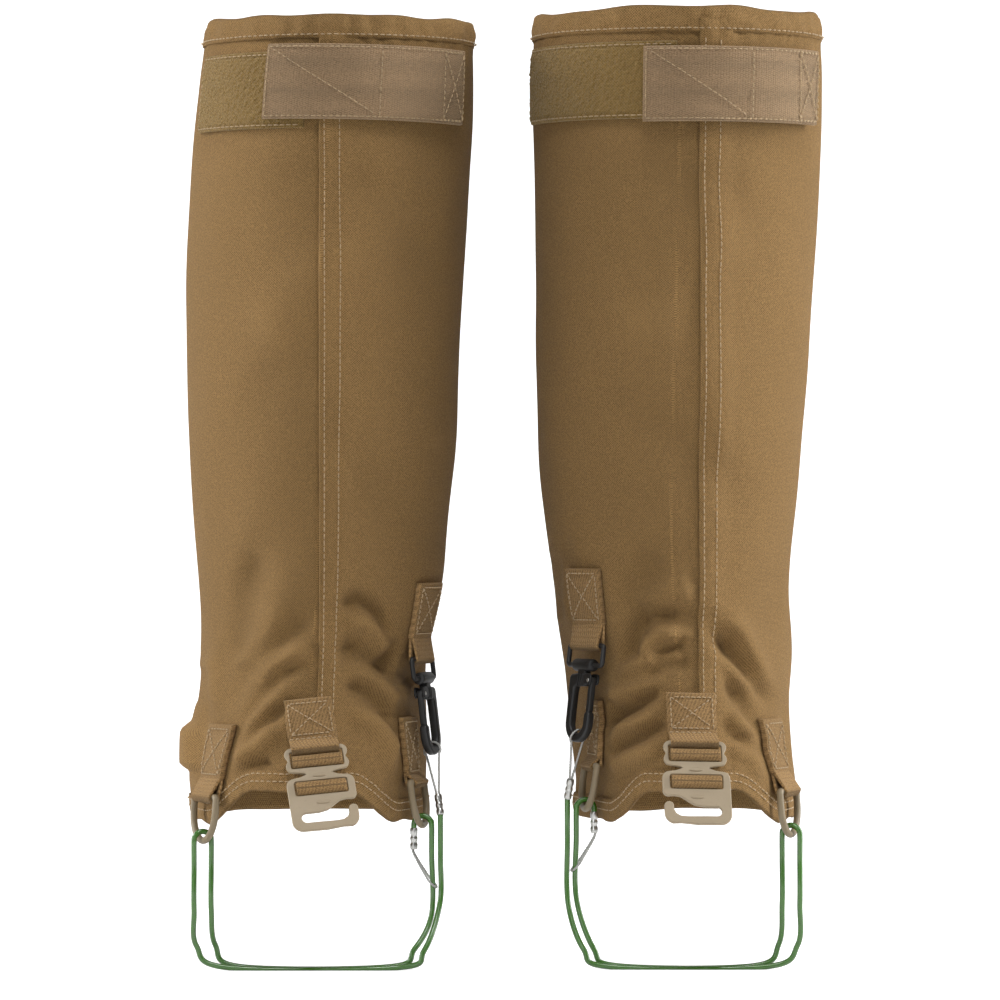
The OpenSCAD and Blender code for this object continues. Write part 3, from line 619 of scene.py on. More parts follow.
M_BLACK = moulded("black_nylon", (0.012, 0.012, 0.012))
M_BLACK_WIRE = painted("black_wire", (0.014, 0.014, 0.014), 0.45, chips=(0.2, 0.2, 0.2), amount=0.2)
M_CABLE = coated("green_coat", (0.038, 0.165, 0.008))
M_STEEL = bare_metal("steel")
M_WIRE = bare_metal("steel_wire", (0.55, 0.55, 0.53), 0.34)


# ---------------------------------------------------------------- stitching
THREADS = {}


def stitch(body, points, outward, pitch=3.3, gap=0.9, radius=0.30, dark=False, lift=0.12):
    """A row of lockstitches along points; each is a short thread that dips at both ends."""
    p = resample(points, pitch / 6)
    s = np.concatenate([[0], np.cumsum(np.linalg.norm(np.diff(p, axis=0), axis=1))])
    if len(outward) == len(points):
        where = np.linspace(0, 1, len(points))
        here = np.linspace(0, 1, len(p))
        n = np.stack([np.interp(here, where, np.asarray(outward)[:, k]) for k in range(3)], -1)
    else:
        n = np.broadcast_to(np.asarray(outward, float), p.shape)
    parts = THREADS.setdefault((body, dark), [])
    count = max(1, int(s[-1] / pitch))
    rise = np.array([-0.75, 0.35, 1.0, 1.12, 1.0, 0.35, -0.75])
    for k in range(count):
        t = np.linspace(k * pitch + gap / 2, (k + 1) * pitch - gap / 2, 7) + RNG.uniform(-0.12, 0.12)
        centre = np.stack([np.interp(t, s, p[:, j]) for j in range(3)], -1)
        up = np.stack([np.interp(t, s, n[:, j]) for j in range(3)], -1)
        centre = centre + up * (lift + radius * 0.8 * rise[:, None])
        size = radius * np.array([0.55, 0.9, 1.0, 1.03, 1.0, 0.9, 0.55]) * RNG.uniform(0.92, 1.08)
        parts.append(tube(centre, size, 6)[:3])


def sew_everything():
    for (body, dark), parts in THREADS.items():
        points, quads, polys = join(parts)
        name = body + ("_thread_dark" if dark else "_thread")
        add_piece(name, points, quads, M_THREAD_DARK if dark else M_THREAD, body, polys=polys)


# ---------------------------------------------------------------- the sleeve
FLAP_W = 13.0


def puckers(side, a, z):
    """Small gathers along both hems and beside the stitch rows, in mm."""
    p = skin(side, a, z)
    gather = np.sin(p @ np.array([0.95, 0.95, 0.1]) / 1.9 + 2.2 * waves(p, 16))
    top = np.exp(-((z - (TOP_Z[side] - TOP_HEM)) / 5.0) ** 2)
    low = np.exp(-((z - hem_z(a) - BOTTOM_HEM) / 4.5) ** 2)
    return gather * (0.40 * top + 0.38 * low)


def leg_panel(side, plus_x):
    """Half the sleeve; the +X half laps over the other at the front seam."""
    part = "outer_panel" if plus_x == (side == "left") else "inner_panel"
    body = side + "_gaiter"
    length = 222.0
    lap = 9.0 if not plus_x else 0.0
    u = spread(length, 1.6) / length
    z_step = 1.7
    v = spread(380.0, z_step) / 380.0
    u, v = np.meshgrid(u, v, indexing="ij")
    mid = np.float64(280.0)
    ends = (seam_angle(side, mid), 180.0) if plus_x else (-180.0, seam_angle(side, mid) + lap)
    a = ends[0] + u * (ends[1] - ends[0])
    for _ in range(3):
        low, high = hem_z(a) + BOTTOM_HEM - 5, TOP_Z[side] - 5.0
        z = low + v * (high - low)
        seam = seam_angle(side, z)
        a0, a1 = (seam, np.full_like(z, 180.0)) if plus_x else (np.full_like(z, -180.0), seam + lap)
        a = a0 + u * (a1 - a0)
    from_seam = (a - seam) * np.pi / 180 * 66
    relief = np.zeros_like(z)
    if plus_x:
        # The lapped edge stands on the half below it, with a sunk line under each stitch row
        relief = 1.5 * (1 - smooth((from_seam - 8) / 12))
        for row in (2.6, 9.6):
            relief = relief - 0.32 * np.exp(-((from_seam - row) / 0.8) ** 2)
        relief = relief + 0.22 * np.sin(z / 2.6 + 2 * waves(skin(side, a, z), 12)) * np.exp(
            -((from_seam - 6) / 5) ** 2)
        edge = rounded(np.maximum(from_seam, 0), 0.8)
    else:
        relief = -0.35 - 0.5 * smooth((from_seam + 3) / 6)
        edge = np.ones_like(z)
    to_back = (180 - np.abs(a)) * np.pi / 180 * 70
    relief = relief + 0.55 * (1 - smooth((to_back - 5.5) / 1.6)) - 0.25 * np.exp(-((to_back - 3.5) / 0.8) ** 2)
    relief = relief + puckers(side, a, z)
    bend = fold(side, a, z)
    outer = skin(side, a, z, bend + relief - CANVAS * (1 - edge))
    inner = skin(side, a, z, bend + relief - CANVAS)
    points, quads = closed_sheet(outer, inner)
    uv = np.stack([np.abs(a) * 1.15, z], -1).reshape(-1, 2)
    nodes = [f"{side}_{part}"] + ([f"{side}_front_flap"] if plus_x else [])
    # The inner face's shade is the folds' height lowered by 2: painted shade inside the sleeve
    piece = add_piece(f"{side}_{part}_cloth", points, quads, M_CANVAS, body, nodes, "canvas",
                      np.concatenate([uv, uv]), np.concatenate([(bend + relief).ravel(), bend.ravel() - 2]))
    return piece


def seam_line(side, offset, low, high, out=0.0, step=2.0):
    """Points and normals along the front seam, offset mm to the viewer's right of its edge."""
    z = np.arange(low, high, step)
    a = seam_angle(side, z) + np.degrees(offset / 66)
    lift = 1.5 * (1 - smooth((np.float64(offset) - 8) / 12)) - 0.25
    return cloth(side, a, z, lift + out), cloth_normals(side, a, z)


def ring_line(side, a0, a1, height, out=0.0):
    """Points and normals round the sleeve between two angles, at height(a)."""
    a = np.arange(a0, a1, 1.2)
    z = height(a)
    return cloth(side, a, z, out + puckers(side, a, z)), cloth_normals(side, a, z)


def hem(side, top):
    """Folded hem with a soft rolled edge and gathers between its stitch rows."""
    a = np.linspace(-180, 180, 361)[:-1]
    tall = TOP_HEM if top else BOTTOM_HEM
    # Outline of the fold: up the outside, over the edge and down the inside
    bulge = 1.0 if top else 1.15
    t = np.linspace(0, 1, 12)
    outside = [(bulge * (0.30 + 0.70 * math.sin(math.pi * min(1, 0.12 + q * 0.8)) ** 0.6), tall * q * 0.93) for q in t]
    crest = [(bulge * 0.55 * math.cos(q) - 0.25, tall * 0.93 + tall * 0.07 * math.sin(q))
             for q in np.linspace(0.35, math.pi - 0.2, 7)]
    inside = [(-CANVAS - bulge * 0.75, tall * q) for q in np.linspace(0.9, 0, 7)]
    profile_points = outside + crest + inside
    grid = []
    for out, h in profile_points:
        if top:
            z = TOP_Z[side] - TOP_HEM + h + 0 * a
            ripple = 0.42 * np.sin(np.radians(a) * 30 + 2.5 * waves(skin(side, a, z), 30)) + 0.3 * waves(skin(side, a, z), 5)
        else:
            z = hem_z(a) + BOTTOM_HEM - h
            ripple = 0.30 * np.sin(np.radians(a) * 47 + 3 * waves(skin(side, a, z), 24))
        swell = math.sin(math.pi * min(1.0, h / tall))
        slump = (1.0 if top else 0.8) * waves(skin(side, a, z), 22) * (h / tall) ** 2
        lift = fold(side, a, z) + out + ripple * (0.35 + 0.65 * swell) * (1 if out > -1 else 0.5)
        grid.append(skin(side, a, z + slump, lift))
    grid = np.array(grid).transpose(1, 0, 2)
    n = grid.shape[1]
    quads = grid_quads(len(a), n, wrap_rows=True, wrap_cols=True)
    if not top:
        quads = quads[:, ::-1]
    uv = np.stack(np.broadcast_arrays(a[:, None] * 1.15, np.cumsum([0] + [tall / 12] * (n - 1))[None, :]), -1)
    node = f"{side}_{'top' if top else 'bottom'}_hem"
    nodes = [node] + ([f"{side}_hem_elastic"] if top else [])
    return add_piece(node + "_cloth", grid.reshape(-1, 3), quads, M_CANVAS, side + "_gaiter", nodes, "canvas",
                     uv.reshape(-1, 2), np.zeros(len(a) * n))


# ---------------------------------------------------------------- calf strap and pile patch
PILE_SPAN = {"left": (-80, -1.5), "right": (-69, -10)}
PILE_Z = {"left": 436.4, "right": 431.7}
STRAP_SPAN = {"left": (-14, 64), "right": (-27, 62)}


def band(name, side, span, z_mid, width, base, thickness, material, body, nodes, slot, relief, step=1.0, across=1.2,
         tilt=0.0, plain=False):
    """A band round the sleeve; relief(across_mm, along_mm) raises its face."""
    radius = 70.0
    length = math.radians(span[1] - span[0]) * radius
    u = spread(length, step)
    v = spread(width, across)
    u, v = np.meshgrid(u, v, indexing="ij")
    a = span[0] + np.degrees(u / radius)
    z = z_mid - width / 2 + v + tilt * (u - length)
    edge = rounded(np.minimum(u, length - u), 0.8) * rounded(np.minimum(v, width - v), 0.8)
    place = (lambda out: skin(side, a, z, out)) if plain else (lambda out: cloth(side, a, z, out))
    outer = place(base + thickness * edge + relief(v, u) * edge)
    inner = place(base + 0 * a)
    points, quads = closed_sheet(outer, inner)
    uv = np.stack([u, v], -1).reshape(-1, 2)
    shade = (relief(v, u) * 1.5).ravel()
    return add_piece(name, points, quads, material, body, nodes, slot, np.concatenate([uv, uv]),
                     np.concatenate([shade, shade]))


def band_points(side, span, z_mid, width, out, path, tilt=0.0):
    """Points and normals of a path of (along, across) in mm on a band."""
    radius = 70.0
    length = math.radians(span[1] - span[0]) * radius
    p = resample([(x, y, 0) for x, y in path], 1.0)
    a = span[0] + np.degrees(p[:, 0] / radius)
    z = z_mid - width / 2 + p[:, 1] + tilt * (p[:, 0] - length)
    n = normal(side, a, z)
    return skin(side, a, z, out), np.concatenate([n, np.zeros((len(n), 1))], -1)


def pile_patch(side):
    body = side + "_gaiter"
    span, z_mid = PILE_SPAN[side], PILE_Z[side]

    def fuzz(v, u):
        p = np.stack([u, v, 0 * u], -1)
        rough = waves(p + 7, 1.0) * 0.20 + waves(p + 31, 0.55) * 0.20
        return rough - 0.5 * (np.minimum(v, PILE_H + 2 - v) < 3.2)

    band(f"{side}_pile_cloth", side, span, z_mid, PILE_H + 2, 0.35, 1.9, M_PILE, body, [f"{side}_pile_patch"],
         "pile", fuzz, step=0.55, across=0.55, plain=True)
    w, length = PILE_H + 2, math.radians(span[1] - span[0]) * 70
    for y in (1.7, w - 1.7):
        pts, n = band_points(side, span, z_mid, w, 1.9, [(1.5, y), (length - 1.5, y)])
        stitch(body, pts, n, radius=0.27)
    pts, n = band_points(side, span, z_mid, w, 1.9, [(1.6, 1.5), (1.6, w - 1.5)])
    stitch(body, pts, n, radius=0.27)


def calf_strap(side):
    body = side + "_calf_strap"
    span, z_mid = STRAP_SPAN[side], STRAP_Z[side]
    length = math.radians(span[1] - span[0]) * 70
    middle_row = length * (0.52 if side == "right" else 0.53)
    tilt = -0.012 if side == "right" else 0.004

    def ribs(v, u):
        rib = 0.20 * np.abs(np.sin(v * math.pi / 1.62)) ** 0.7
        weave = 0.05 * np.sin(u * math.pi / 0.9) * np.sign(np.sin(v * math.pi / 1.62))
        sewn = -0.28 * np.exp(-((u - middle_row) / 0.9) ** 2) - 0.2 * np.exp(-((u - length + 2.5) / 0.8) ** 2)
        wave = 0.30 * np.sin(u / 9.0 + v / 15)
        return rib + weave + sewn + wave

    band(f"{side}_calf_strap_cloth", side, span, z_mid, STRAP_W, 3.2, 1.7, M_ELASTIC, body,
         [f"{side}_calf_strap"], "elastic", ribs, step=0.9, across=0.27, tilt=tilt, plain=True)
    end, w, inset = length - 1.8, STRAP_W, 15.0
    rows = [[(middle_row, 1.5), (middle_row, w - 1.5)],
            [(3.5, w - 2.5), (middle_row - 1, 2.0)],
            [(end, 1.8), (end, w - 1.8)], [(end - inset, 1.8), (end - inset, w - 1.8)],
            [(end - inset, 2.0), (end, 2.0)], [(end - inset, w - 2.0), (end, w - 2.0)],
            [(end - inset, 2.0), (end, w - 2.0)], [(end - inset, w - 2.0), (end, 2.0)],
            [(1.6, 1.6), (1.6, w - 1.6)], [(1.6, 1.5), (end, 1.5)], [(1.6, w - 1.5), (end, w - 1.5)]]
    for row in rows:
        pts, n = band_points(side, span, z_mid, w, 5.3, row, tilt)
        stitch(body, pts, n, radius=0.28, pitch=3.0)


# ---------------------------------------------------------------- webbing tabs
def to_angle(side, p):
    """Angle round the sleeve of points in mm."""
    x = p[..., 0] - profile(side, p[..., 2], 1)
    y = p[..., 1] - SHIFT[1]
    a = np.degrees(np.arctan2(x, -y))
    for _ in range(6):
        hw = half_width(side, a, p[..., 2])
        depth = np.where(np.cos(np.radians(a)) >= 0, profile(side, p[..., 2], 3), profile(side, p[..., 2], 4))
        a = np.degrees(np.arctan2(x / hw, -y / depth))
    return a


def on_cloth(side, seat, x, h, out):
    """The cloth beneath a seat's local (x, h), lifted by out, and its normal."""
    plane = seat(np.stack(np.broadcast_arrays(x, 2.0, h), -1))
    a = to_angle(side, plane)
    z = plane[..., 2]
    return cloth(side, a, z, out), a, z


def tab(side, label, node, bar_r, low, rise, width, patch_rows, base=0.5):
    """A webbing patch on the cloth, box-stitched, with a loop of webbing round a bar."""
    body, seat = side + "_gaiter", SEAT[side, label]
    t = WEBBING_T
    # The patch: two layers of webbing, one soft edge between them
    u, v = spread(width, 1.3, 0.5), spread(rise - low, 1.3, 0.5)
    x, h = np.meshgrid(u - width / 2, v + low, indexing="ij")
    edge = rounded(width / 2 - np.abs(x), 0.5) * rounded(np.minimum(h - low, rise - h), 0.5)
    quilt = 0.10 * np.sin(x * math.pi / 0.9) * np.sin(h * math.pi / 1.1)
    for q, reach in ((2.6, 0.8),):
        inset = np.minimum(width / 2 - np.abs(x), np.minimum(h - low, rise - h))
        quilt = quilt - 0.22 * np.exp(-((inset - q) / reach) ** 2)
    outer, _, _ = on_cloth(side, seat, x, h, base + 2 * t * edge + quilt * edge)
    inner, _, _ = on_cloth(side, seat, x, h, base)
    points, quads = closed_sheet(outer, inner)
    uv = np.stack([x, h], -1).reshape(-1, 2)
    patch = (points, quads, [])
    uvs = [uv, uv]
    # The loop: from the patch's lower edge over the bar and back under the patch
    r = bar_r + RUN + t / 2
    lx = spread(width - 1.0, 1.3, 0.4) - (width - 1.0) / 2
    front = [(-r, q) for q in np.linspace(0, -0.2, 2)]
    arc = [(-r * math.cos(q), -r * math.sin(q)) for q in np.linspace(0.1, math.pi - 0.1, 14)]
    path = [("cloth", low + 3.0, base + 1.5 * t), ("cloth", low + 0.6, base + 1.5 * t)]
    path += [("bar", y, h_) for y, h_ in front + arc]
    path += [("cloth", low + 0.6, base + 0.55 * t), ("cloth", low + 3.0, base + 0.55 * t)]
    centre = []
    for kind, p, q in path:
        if kind == "cloth":
            centre.append(on_cloth(side, seat, lx, np.full_like(lx, p), q)[0])
        else:
            centre.append(seat(np.stack([lx, np.full_like(lx, p), np.full_like(lx, q)], -1)))
    centre = np.array(centre)
    dense = np.stack([spline(centre[:, k], 5) for k in range(len(lx))], 1)
    way = np.gradient(dense, axis=0)
    across = np.gradient(dense, axis=1)
    n = np.cross(across, way)
    n /= np.linalg.norm(n, axis=-1, keepdims=True)
    if (n[2].mean(0) @ seat.outward) < 0:
        n = -n
    thin = rounded((width - 1.0) / 2 - np.abs(lx), 0.4)[None, :, None]
    outer_l, inner_l = dense + n * t / 2 * thin, dense - n * t / 2 * thin
    points_l, quads_l = closed_sheet(outer_l, inner_l)
    s = np.cumsum(np.full(len(dense), 0.75))
    uv_l = np.stack(np.broadcast_arrays(lx[None, :], s[:, None]), -1).reshape(-1, 2)
    points, quads, polys = join([patch, (points_l, quads_l, [])])
    add_piece(node + "_webbing", points, quads, M_WEBBING, body, [node], "webbing",
              np.concatenate(uvs + [uv_l, uv_l]), np.zeros(len(points)))
    # Stitching: a box with a cross, or the rows given
    for row in patch_rows:
        p = resample([(a_, b_, 0) for a_, b_ in row], 1.0)
        pts, a, z = on_cloth(side, seat, p[:, 0], p[:, 1], base + 2 * t + 0.05)
        stitch(body, pts, cloth_normals(side, a, z), radius=0.30, pitch=2.7)


def box_rows(width, low, rise, cross=2, inset=2.4):
    x, b, t = width / 2 - inset, low + inset, rise - inset
    rows = [[(-x, b), (x, b)], [(x, b), (x, t)], [(x, t), (-x, t)], [(-x, t), (-x, b)]]
    if cross:
        rows.append([(-x, b), (x, t)])
    if cross > 1:
        rows.append([(-x, t), (x, b)])
    return rows


# ---------------------------------------------------------------- stamped and moulded hardware
def flip_of(side):
    """The hooks open toward the other gaiter."""
    return -1 if side == "right" else 1


def arc(cx, cy, r, a0, a1, n=10):
    return [(cx + r * math.cos(math.radians(q)), cy + r * math.sin(math.radians(q))) for q in np.linspace(a0, a1, n)]


def stamped(loops, thick, bevel):
    """Points and polys of a flat plate with eased edges, in (x, depth, height); later loops are holes."""
    curve = bpy.data.curves.new("stamp", "CURVE")
    curve.dimensions, curve.fill_mode = "2D", "BOTH"
    curve.extrude, curve.bevel_depth, curve.bevel_resolution, curve.offset = thick / 2 - bevel, bevel, 3, -bevel
    for loop in loops:
        line = curve.splines.new("POLY")
        line.points.add(len(loop) - 1)
        for point, (x, z) in zip(line.points, loop):
            point.co = (x, z, 0, 1)
        line.use_cyclic_u = True
    shape = bpy.data.objects.new("stamp", curve)
    bpy.context.scene.collection.objects.link(shape)
    bpy.context.view_layer.update()
    mesh = bpy.data.meshes.new_from_object(shape.evaluated_get(bpy.context.evaluated_depsgraph_get()))
    work = bmesh.new()
    work.from_mesh(mesh)
    bmesh.ops.remove_doubles(work, verts=work.verts, dist=1e-4)
    work.verts.index_update()
    points = np.array([v.co for v in work.verts])[:, [0, 2, 1]]
    polys = [[v.index for v in f.verts] for f in work.faces]
    work.free()
    bpy.data.objects.remove(shape)
    bpy.data.curves.remove(curve)
    bpy.data.meshes.remove(mesh)
    return points, np.zeros((0, 4), int), polys


def placed(seat, side, part):
    """A part's local points mirrored for the side and set on its seat."""
    points, quads, polys = part
    return seat(points * [flip_of(side), 1, 1]), quads, polys


def rounded_slot(x, z, r):
    out = []
    for cx, cz, a in ((x[1] - r, z[1] - r, 0), (x[0] + r, z[1] - r, 90), (x[0] + r, z[0] + r, 180),
                      (x[1] - r, z[0] + r, 270)):
        out += arc(cx, cz, r, a, a + 90, 7)
    return out


def oval(cx, cz, rx, rz, n=20):
    return [(cx + rx * math.cos(q), cz + rz * math.sin(q)) for q in np.linspace(0, 2 * math.pi, n, endpoint=False)]


def lace_hook(side):
    seat = SEAT[side, "instep"]
    # Two lobes with a notch between them, a neck, sloping shoulders, then the hook
    right = (arc(12.2, -2.2, 3.2, 90, -20, 8) + [(14.1, -5.4)] + arc(12.0, -8.6, 3.4, 30, -60, 8)
             + [(9.2, -12.4), (7.0, -12.9), (6.5, -13.4), (9.5, -14.6)] + arc(12.9, -18.8, 3.7, 75, 0, 8))
    foot = ([(16.6, -24), (16.6, -36.5)] + arc(11.4, -37.6, 5.2, -5, -90, 8) + [(0, -43), (-8, -42.2)]
            + arc(-10.8, -37.2, 5.4, -105, -180, 8) + [(-16.2, -34.2)] + arc(-13.9, -33.4, 2.3, 190, 0, 12)
            + [(-11.6, -35.2), (-10.6, -37.3), (-8.4, -38.6), (-5, -38.9), (4, -38.7)]
            + arc(9.3, -36.2, 2.5, -90, 90, 10) + [(3.0, -33.7), (-1.5, -32.8), (-5.2, -30.4), (-8.2, -28.4)]
            + [(-11.5, -27.9)] + arc(-14.0, -25.6, 2.6, -90, -180, 6))
    left = [(-x, z) for x, z in right[::-1]]
    outline = right + foot + [(-16.6, -24)] + left
    loops = [outline, rounded_slot((-13.0, 13.0), (-9.9, -1.1), 0.9), rounded_slot((-12.9, 12.9), (-24.4, -16.9), 1.0)]
    body = side + "_lace_hook"
    plate_ = placed(seat, side, stamped(loops, 2.0, 0.45))
    # A raised oval above and below the lower slot
    bosses = []
    for cz in (-14.6, -29.0):
        t = np.linspace(0, np.pi / 2, 6)
        ring = np.array([[(3.4 * math.cos(q) ** 0.8 * math.cos(b), -1.0 - 0.55 * math.sin(q),
                           cz + 0.75 * math.cos(q) ** 0.8 * math.sin(b)) for b in np.linspace(0, 2 * np.pi, 24, endpoint=False)]
                         for q in t])
        bosses.append(placed(seat, side, (ring.reshape(-1, 3), grid_quads(6, 24, wrap_cols=True),
                                          [list(range(24))])))
    points, quads, polys = join([plate_] + bosses)
    add_piece(body + "_plate", points, quads, M_PLATE, body, [side + "_lace_hook"], "painted_plate", polys=polys,
              crisp=seat.matrix @ np.array([0, 1.0, 0]))


def hook_webbing(side):
    """A webbing tube that bulges out through both slots and runs behind the plate between them."""
    seat, body = SEAT[side, "instep"], side + "_lace_hook"
    parts, uvs = [], []
    for z0, z1 in ((-9.4, -3.3), (-24.0, -17.2)):
        mid, half = (z0 + z1) / 2, (z1 - z0) / 2
        x = spread(24.4, 1.0, 0.6) - 12.2
        q = np.linspace(0, 2 * np.pi, 37)[:-1]
        x, q = np.meshgrid(x, q, indexing="ij")
        end = rounded(12.2 - np.abs(x), 0.6) * 0.12 + 0.88
        rib = 0.07 * np.sin(x * math.pi / 0.9)
        c, s = np.cos(q), np.sin(q)
        y = -(2.9 * end + rib) * np.sign(c) * np.abs(c) ** 0.8 * np.where(c > 0, 1, 0.7)
        h = mid + (half * end + rib) * np.sign(s) * np.abs(s) ** 0.75
        pts = np.stack([x, y, h], -1)
        n, m = x.shape
        parts.append((seat(pts.reshape(-1, 3)), grid_quads(n, m, wrap_cols=True),
                      [list(range(m)), [(n - 1) * m + k for k in range(m)]]))
        uvs.append(np.stack([x, np.degrees(q) / 360 * 17], -1).reshape(-1, 2))
    x, h = np.meshgrid(spread(24, 1.2, 0.5) - 12, -19.0 + spread(12.0, 1.2, 0.5), indexing="ij")
    outer, inner = (seat(np.stack([x, 0 * x + y, h], -1)) for y in (1.15, 2.1))
    back, quads = closed_sheet(outer, inner)
    parts.append((back, quads, []))
    uvs += [np.stack([x, h], -1).reshape(-1, 2)] * 2
    points, quads, polys = join(parts)
    add_piece(side + "_hook_webbing_cloth", points, quads, M_WEBBING, body, [side + "_hook_webbing"], "webbing",
              np.concatenate(uvs), np.zeros(len(points)), polys=polys)


def snap(side):
    """A moulded snap hook: T head, cheeks, J bend, sprung gate and its pin."""
    seat, body = SEAT[side, "hook"], side + "_snap_hook"
    head = tube([(x, 0, 0) for x in (-8.0, -7.7, -7.0, 7.0, 7.7, 8.0)], [2.5, 2.9, 3.1, 3.1, 2.9, 2.5], 24)[:3]
    j = ([(-3.4, -1.5), (-3.6, -4.0), (-6.6, -4.6)] + arc(-7.6, -6.9, 2.4, 100, 180, 6) + [(-10.1, -12), (-10.0, -22)]
         + arc(0, -28.2, 10.0, 180, 360, 26) + [(10.0, -25.2)] + arc(7.8, -25.0, 2.2, 0, 180, 8)
         + arc(0, -28.2, 5.6, 360, 180, 22) + [(-5.6, -24), (-5.4, -13.5)] + arc(-3.6, -12.2, 1.6, 190, 90, 5)
         + [(3.0, -10.4), (4.4, -9.8), (4.5, -5.6), (3.4, -4.0), (3.4, -1.5)])
    flat_part = stamped([j], 4.2, 1.25)
    cheeks = []
    for y in (-2.25, 2.25):
        outline = rounded_slot((3.2, 10.0), (-9.6, -4.2), 1.9)
        p, q, c = stamped([outline], 1.1, 0.4)
        cheeks.append((p + [0, y, 0], q, c))
    ribs = []
    for x in (-2.0, 0.0, 2.0):
        ribs.append(tube([(x, -1.9, -10.2), (x, -2.25, -9.4), (x, -2.25, -5.2), (x, -1.9, -4.4)], 0.35, 8)[:3])
    parts = [placed(seat, side, part) for part in [head, flat_part] + cheeks + ribs]
    points, quads, polys = join(parts)
    add_piece(body + "_moulding", points, quads, M_BLACK, body, [side + "_snap_body"], "black_plastic", polys=polys,
              crisp=seat.matrix @ np.array([0, 1.0, 0]))
    gate = (arc(7.8, -7.5, 1.7, 180, 0, 10) + [(9.2, -9.5), (9.25, -21.6), (8.9, -23.2), (8.2, -23.7), (7.2, -23.7)]
            + [(6.6, -23.2), (6.5, -21.5), (6.5, -9.5)])
    gate_part = placed(seat, side, stamped([gate], 3.0, 0.6))
    add_piece(side + "_snap_gate_arm", *gate_part[:2], M_BLACK, side + "_snap_gate", [side + "_snap_gate"],
              "black_plastic", polys=gate_part[2], crisp=seat.matrix @ np.array([0, 1.0, 0]))
    pin = placed(seat, side, tube([(7.8, y, -7.5) for y in (-3.0, -2.85, -2.6, 2.6, 2.85, 3.0)],
                                  [0.7, 0.95, 1.0, 1.0, 0.95, 0.7], 18)[:3])
    add_piece(body + "_pin", *pin[:2], M_STEEL, body, [side + "_gate_pin"], "steel", polys=pin[2])


def wire_ring(side, label, path, r, body, node, material, slot, seat):
    points, quads, polys = tube(seat(np.array(path)), r, 18, closed=True)[:3]
    uv = np.stack([np.repeat(np.arange(len(path)), 18), np.tile(np.arange(18), len(path))], -1) * 1.0
    add_piece(body + "_wire", points, quads, material, body, [node], slot, uv, polys=polys)


def d_ring_path():
    bow = [(14.5 * math.cos(q), 0, -7.1 + 14.5 * math.sin(q)) for q in np.linspace(0, -math.pi, 36)]
    left = [(-14.5, 0, -3.5)] + [(x, 0, z) for x, z in arc(-13.0, -1.5, 1.5, 180, 90, 7)]
    right = [(x, 0, z) for x, z in arc(13.0, -1.5, 1.5, 90, 0, 7)] + [(14.5, 0, -3.5)]
    return bow + left + [(q, 0, 0) for q in (-8, -3, 3, 8)] + right


def loop_path():
    return [(x, 0, z) for x, z in rounded_slot((-15, 15), (-9.8, 0), 1.6)]


# ---------------------------------------------------------------- steel cable stirrup
def cable_tube(points, radius, sides, turns_per_mm=0.11):
    """A tube whose lay ridges twist along it, with UVs of length and angle in mm."""
    points, quads, caps, across, other = tube(points, 1.0, sides)
    line = points.reshape(-1, sides, 3).mean(1)
    s = np.concatenate([[0], np.cumsum(np.linalg.norm(np.diff(line, axis=0), axis=1))])
    t = np.linspace(0, 2 * np.pi, sides, endpoint=False)
    lay = 0.045 * np.abs(np.cos(3.5 * (t[None, :] + 2 * np.pi * turns_per_mm * s[:, None])))
    r = radius - 0.045 + lay
    ring = line[:, None] + r[..., None] * (np.cos(t)[None, :, None] * across[:, None]
                                           + np.sin(t)[None, :, None] * other[:, None])
    uv = np.stack(np.broadcast_arrays(s[:, None], t[None, :] * radius), -1).reshape(-1, 2)
    return ring.reshape(-1, 3), quads, caps, uv


def ferrule(foot, way, length, eye_end):
    """A pressed sleeve with two crimps and rolled ends."""
    h = np.array([0, 0.15, 0.5, 1.0, 2.4, 3.0, 3.9, 4.5, 5.6, 6.2, 7.1, 7.7, 9.2, 9.9, 10.35, 10.5]) * length / 10.5
    r = np.array([1.45, 1.7, 1.86, 1.9, 1.9, 1.62, 1.62, 1.88, 1.88, 1.62, 1.62, 1.9, 1.9, 1.84, 1.7, 1.4])
    line = np.asarray(foot) + h[:, None] * np.asarray(way)
    return tube(line, r, 28)[:3]


def twisted(points, r):
    """Three thin strands wound round each other along a line."""
    line = resample(points, 0.35)
    _, _, _, across, other = tube(line, 1.0, 4)
    s = np.linspace(0, 0.35 * len(line) * 1.35, len(line))
    strands = []
    for k in range(3):
        q = s + k * 2 * math.pi / 3
        strands.append(tube(line + r * 0.48 * (np.cos(q)[:, None] * across + np.sin(q)[:, None] * other),
                            r * 0.52, 8)[:3])
    return strands


